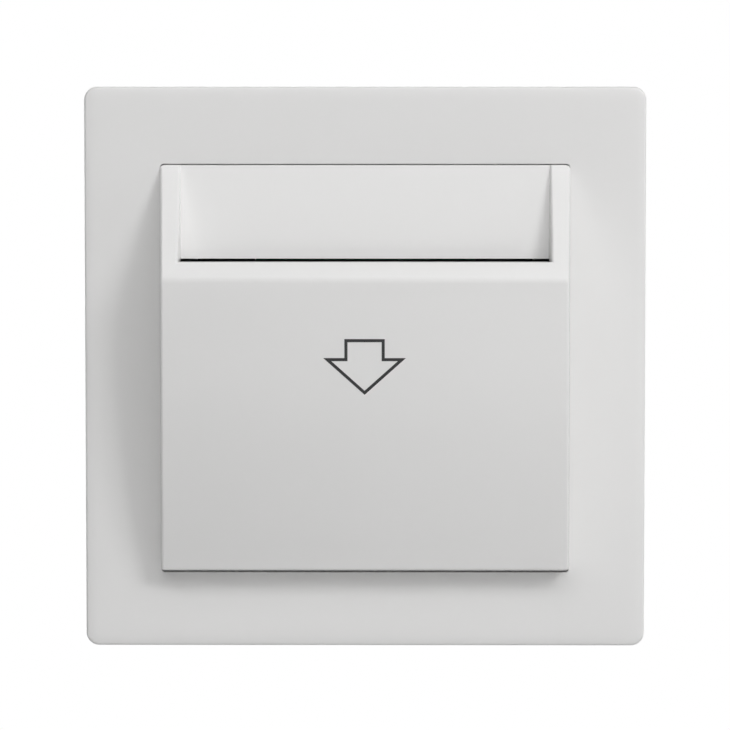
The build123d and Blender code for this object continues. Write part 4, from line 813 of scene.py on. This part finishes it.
@dataclass
class CardWay:
    """Card guide, sensing lever, its pin and its torsion spring."""

    wire_radius: float = 0.2 * MM
    spring_turns: int = 4
    points_per_turn: int = 40
    wire_sides: int = 16

    def build(self) -> None:
        """Builds the four pieces."""
        dress("card_guide", GUIDE_BLACK)
        dress("card_lever", LEVER_BLACK)
        dress("lever_pivot_pin", PIN_STEEL)
        self.wind_spring()

    def wind_spring(self) -> None:
        """Winds the torsion spring round the pin, with its two legs."""
        low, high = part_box("lever_spring")
        pin = centre_of("lever_pivot_pin")
        reach = (high.y - low.y) / 2 - self.wire_radius
        axis_y = (low.y + high.y) / 2
        first_x = high.x - self.wire_radius
        last_x = low.x + self.wire_radius
        total = self.spring_turns * self.points_per_turn
        path = [(first_x, axis_y + reach, high.z)]
        for i in range(total + 1):
            angle = 2 * math.pi * i / self.points_per_turn
            x = first_x + (last_x - first_x) * i / total
            path.append((x, axis_y + reach * math.cos(angle), pin.z - reach * math.sin(angle)))
        path.append((last_x, axis_y + reach, low.z))
        spring = wire_tree(self.wire_radius, self.wire_sides).run(
            "lever_spring_wound", seed_mesh(path, joined=True), body_of_node("lever_spring"), SPRING_STEEL
        )
        finish_off(spring, "lever_spring")


@dataclass(frozen=True)
class Screw:
    """One kind of cross-recessed screw, with its sizes."""

    node: str
    thread_radius: float
    head_radius: float
    head_height: float
    recess_reach: float
    recess_depth: float
    recess_width: float = 0.7 * MM
    core_share: float = 0.84
    largest_pitch: float = 1.1 * MM
    least_turns: int = 3

    def sizes(self, length: float) -> dict[str, float]:
        """Gives the inputs of the screw tree.

        Args:
            length: the shank's length.

        Returns:
            The sizes by input name.
        """
        return {
            "Core Radius": self.thread_radius * self.core_share,
            "Thread Radius": self.thread_radius,
            "Thread Pitch": min(self.largest_pitch, length / self.least_turns),
            "Shank Length": length,
            "Head Radius": self.head_radius,
            "Head Height": self.head_height,
            "Recess Reach": self.recess_reach,
            "Recess Width": self.recess_width,
            "Recess Depth": self.recess_depth,
        }

    def axes(self) -> list[tuple[float, float]]:
        """Works out each screw's (x, z) from the node's box.

        Returns:
            Four corners, two ends or three in a row.
        """
        low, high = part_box(self.node)
        left, right = low.x + self.head_radius, high.x - self.head_radius
        below, above = low.z + self.head_radius, high.z - self.head_radius
        if self.node == "assembly_screws":
            return [(x, z) for x in (left, right) for z in (below, above)]
        middle_z = (below + above) / 2
        if self.node == "board_screws":
            return [(left, middle_z), (right, middle_z)]
        return [(left, middle_z), ((left + right) / 2, middle_z), (right, middle_z)]


@dataclass
class Back:
    """Yoke, rear housing and the screws that hold them."""

    assembly_screw: Screw = Screw("assembly_screws", 1.45 * MM, 2.75 * MM, 2.0 * MM, 1.3 * MM, 1.1 * MM)
    terminal_screw: Screw = Screw("terminal_screws", 1.7 * MM, 2.5 * MM, 1.5 * MM, 1.3 * MM, 0.9 * MM)
    board_screw: Screw = Screw("board_screws", 0.9 * MM, 1.9 * MM, 1.2 * MM, 1.1 * MM, 0.7 * MM)

    def build(self) -> None:
        """Builds the back's pieces."""
        dress("mounting_yoke", YOKE_GREY)
        dress("rear_housing", HOUSING_GREY)
        self.drive(self.assembly_screw)
        self.drive(self.terminal_screw)
        self.drive(self.board_screw, faces_front=True)

    def drive(self, kind: Screw, faces_front: bool = False) -> None:
        """Replaces a node of screws by threaded ones in the same places.

        Args:
            kind: the kind of screw.
            faces_front: whether the heads face the front, and not the back.
        """
        low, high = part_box(kind.node)
        seat = low.y + kind.head_height if faces_front else high.y - kind.head_height
        length = high.y - seat if faces_front else seat - low.y
        screws = screw_tree(kind.sizes(length)).run(
            kind.node + "_threaded",
            seed_mesh([(x, seat, z) for x, z in kind.axes()]),
            body_of_node(kind.node),
            ZINC,
        )
        if faces_front:
            self.turn_round(screws, seat)
        finish_off(screws, kind.node)

    def turn_round(self, screws: bpy.types.Object, seat: float) -> None:
        """Turns screws end for end about their seat plane, as a half turn round Z.

        Args:
            screws: the piece.
            seat: the seat plane's y.
        """
        for vertex in screws.data.vertices:
            vertex.co.y = 2 * seat - vertex.co.y
            vertex.co.x = -vertex.co.x
        screws.data.update()


@dataclass
class Relay:
    """Relay with its wound coil."""

    wire_radius: float = 0.11 * MM
    turn_gap: float = 0.01 * MM
    points_per_turn: int = 40
    wire_sides: int = 8

    def build(self) -> None:
        """Builds the relay's pieces."""
        dress_all(RELAY_BLUE, "relay_cover")
        dress_all(BLACK_MOULDING, "relay_base")
        dress_all(SOFT_IRON, "relay_frame", "relay_core")
        dress_all(BOBBIN_WHITE, "relay_bobbin")
        dress_all(SOFT_IRON, "relay_armature")
        dress_all(BRONZE, "relay_contact_blade")
        dress_all(SILVER, "relay_moving_contact", "relay_fixed_contact")
        dress_all(BRONZE, "relay_contact_terminal")
        dress_all(SPRING_STEEL, "relay_return_spring")
        dress_all(TINNED, "relay_coil_pins")
        self.wind_coil()

    def wind_coil(self) -> None:
        """Winds the coil's outer layer over the drawn-in layers below it."""
        low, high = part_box("relay_winding")
        centre = (low + high) / 2
        reach = (high.x - low.x) / 2 - self.wire_radius
        pitch = 2 * self.wire_radius + self.turn_gap
        length = high.y - low.y - 2 * self.wire_radius
        total = int(length / pitch) * self.points_per_turn
        path = []
        for i in range(total + 1):
            angle = 2 * math.pi * i / self.points_per_turn
            y = low.y + self.wire_radius + length * (i / total)
            path.append((centre.x + reach * math.cos(angle), y, centre.z + reach * math.sin(angle)))
        layer = wire_tree(self.wire_radius, self.wire_sides).run(
            "relay_winding_layer", seed_mesh(path, joined=True), body_of_node("relay_winding"), WINDING
        )
        under = dress("relay_winding", WINDING)
        for vertex in under.data.vertices:
            across = Vector((vertex.co.x - centre.x, vertex.co.z - centre.z))
            if across.length > reach:
                across *= reach / across.length
                vertex.co.x, vertex.co.z = centre.x + across.x, centre.z + across.y


@dataclass
class Microswitch:
    """Microswitch that the lever presses."""

    def build(self) -> None:
        """Builds the switch's pieces."""
        dress_all(BLACK_MOULDING, "microswitch_case", "microswitch_base")
        dress_all(PLUNGER_RED, "microswitch_plunger")
        dress_all(BRONZE, "microswitch_blade")
        dress_all(
            BRASS,
            "microswitch_common_terminal",
            "microswitch_open_terminal",
            "microswitch_closed_terminal",
        )


class Ink(Enum):
    """Colours of the components' printed bands."""

    BLACK = (0.01, 0.01, 0.01)
    BROWN = (0.13, 0.04, 0.01)
    ORANGE = (0.7, 0.16, 0.02)
    GOLD = (0.5, 0.34, 0.08)
    GREY = (0.6, 0.6, 0.6)


@dataclass(frozen=True)
class Axial:
    """A kind of lying component, with bands that start at shares of its length."""

    node: str
    length: float
    colour: Colour
    starts: tuple[float, ...]
    inks: tuple[Ink, ...]
    band_share: float

    def bands(self) -> tuple[tuple[float, Colour], ...]:
        """Lists the bands, and the body's own colour again after each.

        Returns:
            The start and the colour of each stretch.
        """
        rows = []
        for start, ink in zip(self.starts, self.inks):
            rows += [(start, ink.value), (round(start + self.band_share, 2), self.colour)]
        return tuple(rows)


TERMINALS = ("line_terminal", "load_terminal", "neutral_terminal")
COMPONENTS = (
    "smoothing_capacitor", "timing_capacitor", "dropper_capacitor", "fuse", "varistor", "flyback_diode",
    "zener_diode", "resistors", "timer_chip", "bridge_rectifier", "driver_transistor", "relay_coil_pins",
)
RESISTOR_TAN = (0.62, 0.45, 0.26)
ZENER_ORANGE = (0.50, 0.14, 0.03)


@dataclass
class Board:
    """Circuit board, terminals, components and solder."""

    stand_off: float = 0.3 * MM
    lead_radius: float = 0.3 * MM
    lead_margin: float = 0.04 * MM
    lead_reach: float = 0.9 * MM
    terminal_reach: float = 4 * MM
    solder_height: float = 0.8 * MM
    solder_radius: float = 0.85 * MM
    chip_width: float = 6.4 * MM
    transistor_height: float = 4.6 * MM
    sleeve_colour: Colour = (0.02, 0.03, 0.09)
    stripe_colour: Colour = (0.55, 0.56, 0.58)
    stripe_start_share: float = 0.88
    sleeve_roughness: float = 0.3
    axial_roughness: float = 0.35
    axials: tuple[Axial, ...] = (
        Axial(
            "resistors",
            6.3 * MM,
            RESISTOR_TAN,
            (0.12, 0.33, 0.53, 0.80),
            (Ink.BROWN, Ink.BLACK, Ink.ORANGE, Ink.GOLD),
            0.07,
        ),
        Axial("flyback_diode", 5.0 * MM, Ink.BLACK.value, (0.78,), (Ink.GREY,), 0.14),
        Axial("zener_diode", 4.0 * MM, ZENER_ORANGE, (0.76,), (Ink.BLACK,), 0.16),
    )

    def build(self) -> None:
        """Builds the board and all that stands on it."""
        dress("circuit_board", BOARD)
        dress_all(BRASS, *TERMINALS)
        self.dress_cans()
        self.dress_moulded()
        self.dress_axials()
        self.solder()

    def below_seat(self) -> Callable[[Vector], bool]:
        """Returns the test of whether a face's centre lies below the components' seat, on a lead."""
        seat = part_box("circuit_board")[1].y + self.stand_off
        return lambda point: point.y < seat - self.lead_margin

    def dress_cans(self) -> None:
        """Dresses the two round capacitors, with their pale polarity stripe."""
        for node in ("smoothing_capacitor", "timing_capacitor"):
            low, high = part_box(node)
            sleeve = BandedFinish(
                node + "_sleeve",
                self.sleeve_colour,
                self.sleeve_roughness,
                centre=(low.x + high.x) / 2,
                half_length=(high.x - low.x) / 2,
                bands=((self.stripe_start_share, self.stripe_colour),),
            )
            dress(node, sleeve, TINNED, self.below_seat())

    def dress_moulded(self) -> None:
        """Dresses the boxed, dipped and moulded components, each with tinned leads."""
        on_lead = self.below_seat()
        dress("dropper_capacitor", FILM_RED, TINNED, on_lead)
        dress("fuse", FUSE_BROWN, TINNED, on_lead)
        low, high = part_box("varistor")
        radius = (high.x - low.x) / 2
        middle_x, middle_y = (low.x + high.x) / 2, high.y - radius
        reach = radius + self.lead_margin
        dress(
            "varistor",
            VARISTOR_BLUE,
            TINNED,
            lambda point: math.hypot(point.x - middle_x, point.y - middle_y) > reach,
        )
        beside = self.chip_width / 2 + self.lead_margin
        for node in ("bridge_rectifier", "timer_chip"):
            middle_z = centre_of(node).z
            dress(
                node,
                BLACK_MOULDING,
                TINNED,
                lambda point, z=middle_z: abs(point.z - z) > beside or on_lead(point),
            )
        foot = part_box("driver_transistor")[1].y - self.transistor_height - self.lead_margin
        dress("driver_transistor", BLACK_MOULDING, TINNED, lambda point: point.y < foot)

    def dress_axials(self) -> None:
        """Dresses the lying components, with their bands."""
        for kind in self.axials:
            middle = centre_of(kind.node).x
            banded = BandedFinish(
                kind.node + "_banded",
                kind.colour,
                self.axial_roughness,
                centre=middle,
                half_length=kind.length / 2,
                bands=kind.bands(),
            )
            end = kind.length / 2 + self.lead_margin
            dress(
                kind.node,
                banded,
                TINNED,
                lambda point, middle=middle, end=end: abs(point.x - middle) > end,
            )

    def solder(self) -> None:
        """Sets a solder cone round each lead, on the board's front."""
        board_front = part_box("circuit_board")[0].y
        places = []
        for node in (*COMPONENTS, *TERMINALS):
            places += self.lead_places(node, board_front)
        tip_radius = self.lead_radius + self.lead_margin
        cones = solder_tree(self.solder_radius, self.solder_height, tip_radius).run(
            "solder_joints",
            seed_mesh([(x, board_front, z) for x, z in places]),
            body_of_node("circuit_board"),
            SOLDER,
        )
        LOG.info("%s covers %d leads", cones.name, len(places))

    def lead_places(self, node: str, plane: float) -> list[tuple[float, float]]:
        """Finds where a node's leads end in front of the board.

        Args:
            node: the node's name.
            plane: y of the board's front face.

        Returns:
            The (x, z) centre of each lead.
        """
        reach = self.terminal_reach if node in TERMINALS else self.lead_reach
        groups: list[list[Vector]] = []
        for vertex in frame["nodes"][node].data.vertices:
            if vertex.co.y > plane - self.lead_radius:
                continue
            for group in groups:
                if Vector((vertex.co.x - group[0].x, vertex.co.z - group[0].z)).length < reach:
                    group.append(vertex.co)
                    break
            else:
                groups.append([vertex.co])
        centres = []
        for group in groups:
            xs = [p.x for p in group]
            zs = [p.z for p in group]
            centres.append(((min(xs) + max(xs)) / 2, (min(zs) + max(zs)) / 2))
        return centres


@dataclass(frozen=True)
class Softbox:
    """One area lamp: where it hangs, how large it is, and its power in watts."""

    name: str
    direction: Point
    distance: float
    width: float
    height: float
    power: float


@dataclass
class Studio:
    """Camera, lamps, floor and background."""

    distance: float = 612 * MM
    elevation: float = math.radians(4.0)
    azimuth: float = math.radians(0.4)
    pixels_per_mm: float = 6.515
    aim: Point = (0.0, -8 * MM, 0.38 * MM)
    sensor_width: float = 36.0
    clip_start: float = 10 * MM
    clip_end: float = 10.0
    floor_drop: float = 115 * MM
    floor_half_size: float = 0.5
    floor_grey: float = 0.9
    floor_roughness: float = 0.8
    world_strength: float = 0.01
    softboxes: tuple[Softbox, ...] = (
        Softbox("key_softbox", (0.98, -1.0, 0.78), 1.0, 0.34, 0.34, 3.1),
        Softbox("upper_strip", (0.0, -1.0, 1.0), 1.2, 1.6, 0.3, 3.5),
        Softbox("overhead_strip", (0.0, -1.0, 1.6), 1.2, 1.6, 0.4, 3.2),
        Softbox("middle_strip", (0.0, -1.0, 0.45), 1.4, 2.0, 0.4, 1.9),
        Softbox("low_fill", (0.0, -1.0, -0.5), 1.4, 1.2, 0.6, 3.2),
        Softbox("right_rim", (1.0, -0.25, 0.2), 1.0, 0.3, 0.5, 0.8),
        Softbox("back_fill", (-0.35, 1.0, 0.15), 1.2, 1.0, 0.8, 6.0),
    )

    def build(self) -> None:
        """Sets up the whole studio."""
        self.camera()
        for softbox in self.softboxes:
            self.hang(softbox)
        self.floor()
        self.world()
        bpy.context.scene.view_settings.view_transform = "Standard"

    def camera(self) -> None:
        """Stands the camera where the photograph was taken from."""
        data = bpy.data.cameras.new("camera")
        data.sensor_width = self.sensor_width
        pixel_focal = self.pixels_per_mm * self.distance / MM
        data.lens = pixel_focal / PHOTO_PIXELS * data.sensor_width
        data.clip_start = self.clip_start
        data.clip_end = self.clip_end
        camera = bpy.data.objects.new("camera", data)
        back = Vector(
            (
                math.sin(self.azimuth) * math.cos(self.elevation),
                -math.cos(self.azimuth) * math.cos(self.elevation),
                math.sin(self.elevation),
            )
        )
        self.place(camera, Vector(self.aim) + back * self.distance, back)
        bpy.context.scene.camera = camera

    def hang(self, softbox: Softbox) -> None:
        """Hangs one area lamp that looks at the object.

        Args:
            softbox: the lamp.
        """
        data = bpy.data.lights.new(softbox.name, "AREA")
        data.shape = "RECTANGLE"
        data.size = softbox.width
        data.size_y = softbox.height
        data.energy = softbox.power
        direction = Vector(softbox.direction)
        lamp = bpy.data.objects.new(softbox.name, data)
        self.place(lamp, direction.normalized() * softbox.distance, direction)

    def place(self, thing: bpy.types.Object, location: Vector, back: Vector) -> None:
        """Stands a camera or a lamp in its place.

        Args:
            thing: the camera or lamp.
            location: its place.
            back: the direction behind it, away from what it looks at.
        """
        thing.location = location
        thing.rotation_mode = "QUATERNION"
        thing.rotation_quaternion = (-back).to_track_quat("-Z", "Y")
        bpy.context.scene.collection.objects.link(thing)

    def seen_white(self, tree: bpy.types.NodeTree) -> Socket:
        """Picks the rays that see the background directly, in a gloss or through a clear piece.

        Args:
            tree: the world's node tree.

        Returns:
            A socket that is 1 for them and 0 for the rest.
        """
        path = tree.nodes.new("ShaderNodeLightPath")
        total = path.outputs["Is Camera Ray"]
        for ray in ("Is Glossy Ray", "Is Transmission Ray"):
            either = tree.nodes.new("ShaderNodeMath")
            either.operation = "MAXIMUM"
            tree.links.new(total, either.inputs[0])
            tree.links.new(path.outputs[ray], either.inputs[1])
            total = either.outputs[0]
        return total

    def floor(self) -> None:
        """Lays the pale floor below the object."""
        z = cad_low.z - self.floor_drop
        half = self.floor_half_size
        mesh = bpy.data.meshes.new("floor")
        corners = [(-half, -half, z), (half, -half, z), (half, half, z), (-half, half, z)]
        mesh.from_pydata(corners, [], [(0, 1, 2, 3)])
        floor = bpy.data.objects.new("floor", mesh)
        bpy.context.scene.collection.objects.link(floor)
        paint = bpy.data.materials.new("pale_floor")
        paint.use_nodes = True
        shader = paint.node_tree.nodes["Principled BSDF"]
        shader.inputs["Base Color"].default_value = (*(self.floor_grey,) * 3, 1.0)
        shader.inputs["Roughness"].default_value = self.floor_roughness
        mesh.materials.append(paint)

    def world(self) -> None:
        """Makes the background white to the eye and softer as a light."""
        world = bpy.data.worlds.new("studio")
        world.use_nodes = True
        tree = world.node_tree
        lit = tree.nodes["Background"]
        lit.inputs["Color"].default_value = (1, 1, 1, 1)
        lit.inputs["Strength"].default_value = self.world_strength
        seen = tree.nodes.new("ShaderNodeBackground")
        seen.inputs["Color"].default_value = (1, 1, 1, 1)
        mix = tree.nodes.new("ShaderNodeMixShader")
        tree.links.new(self.seen_white(tree), mix.inputs[0])
        tree.links.new(lit.outputs[0], mix.inputs[1])
        tree.links.new(seen.outputs[0], mix.inputs[2])
        tree.links.new(mix.outputs[0], tree.nodes["World Output"].inputs["Surface"])
        bpy.context.scene.world = world


def main() -> None:
    """Builds every piece in order, then the studio."""
    logging.basicConfig(level=logging.INFO, format="%(name)s: %(message)s")
    for part in (FacePlate(), CardWay(), Back(), Relay(), Microswitch(), Board(), Studio()):
        part.build()


if __name__ == "__main__":
    main()
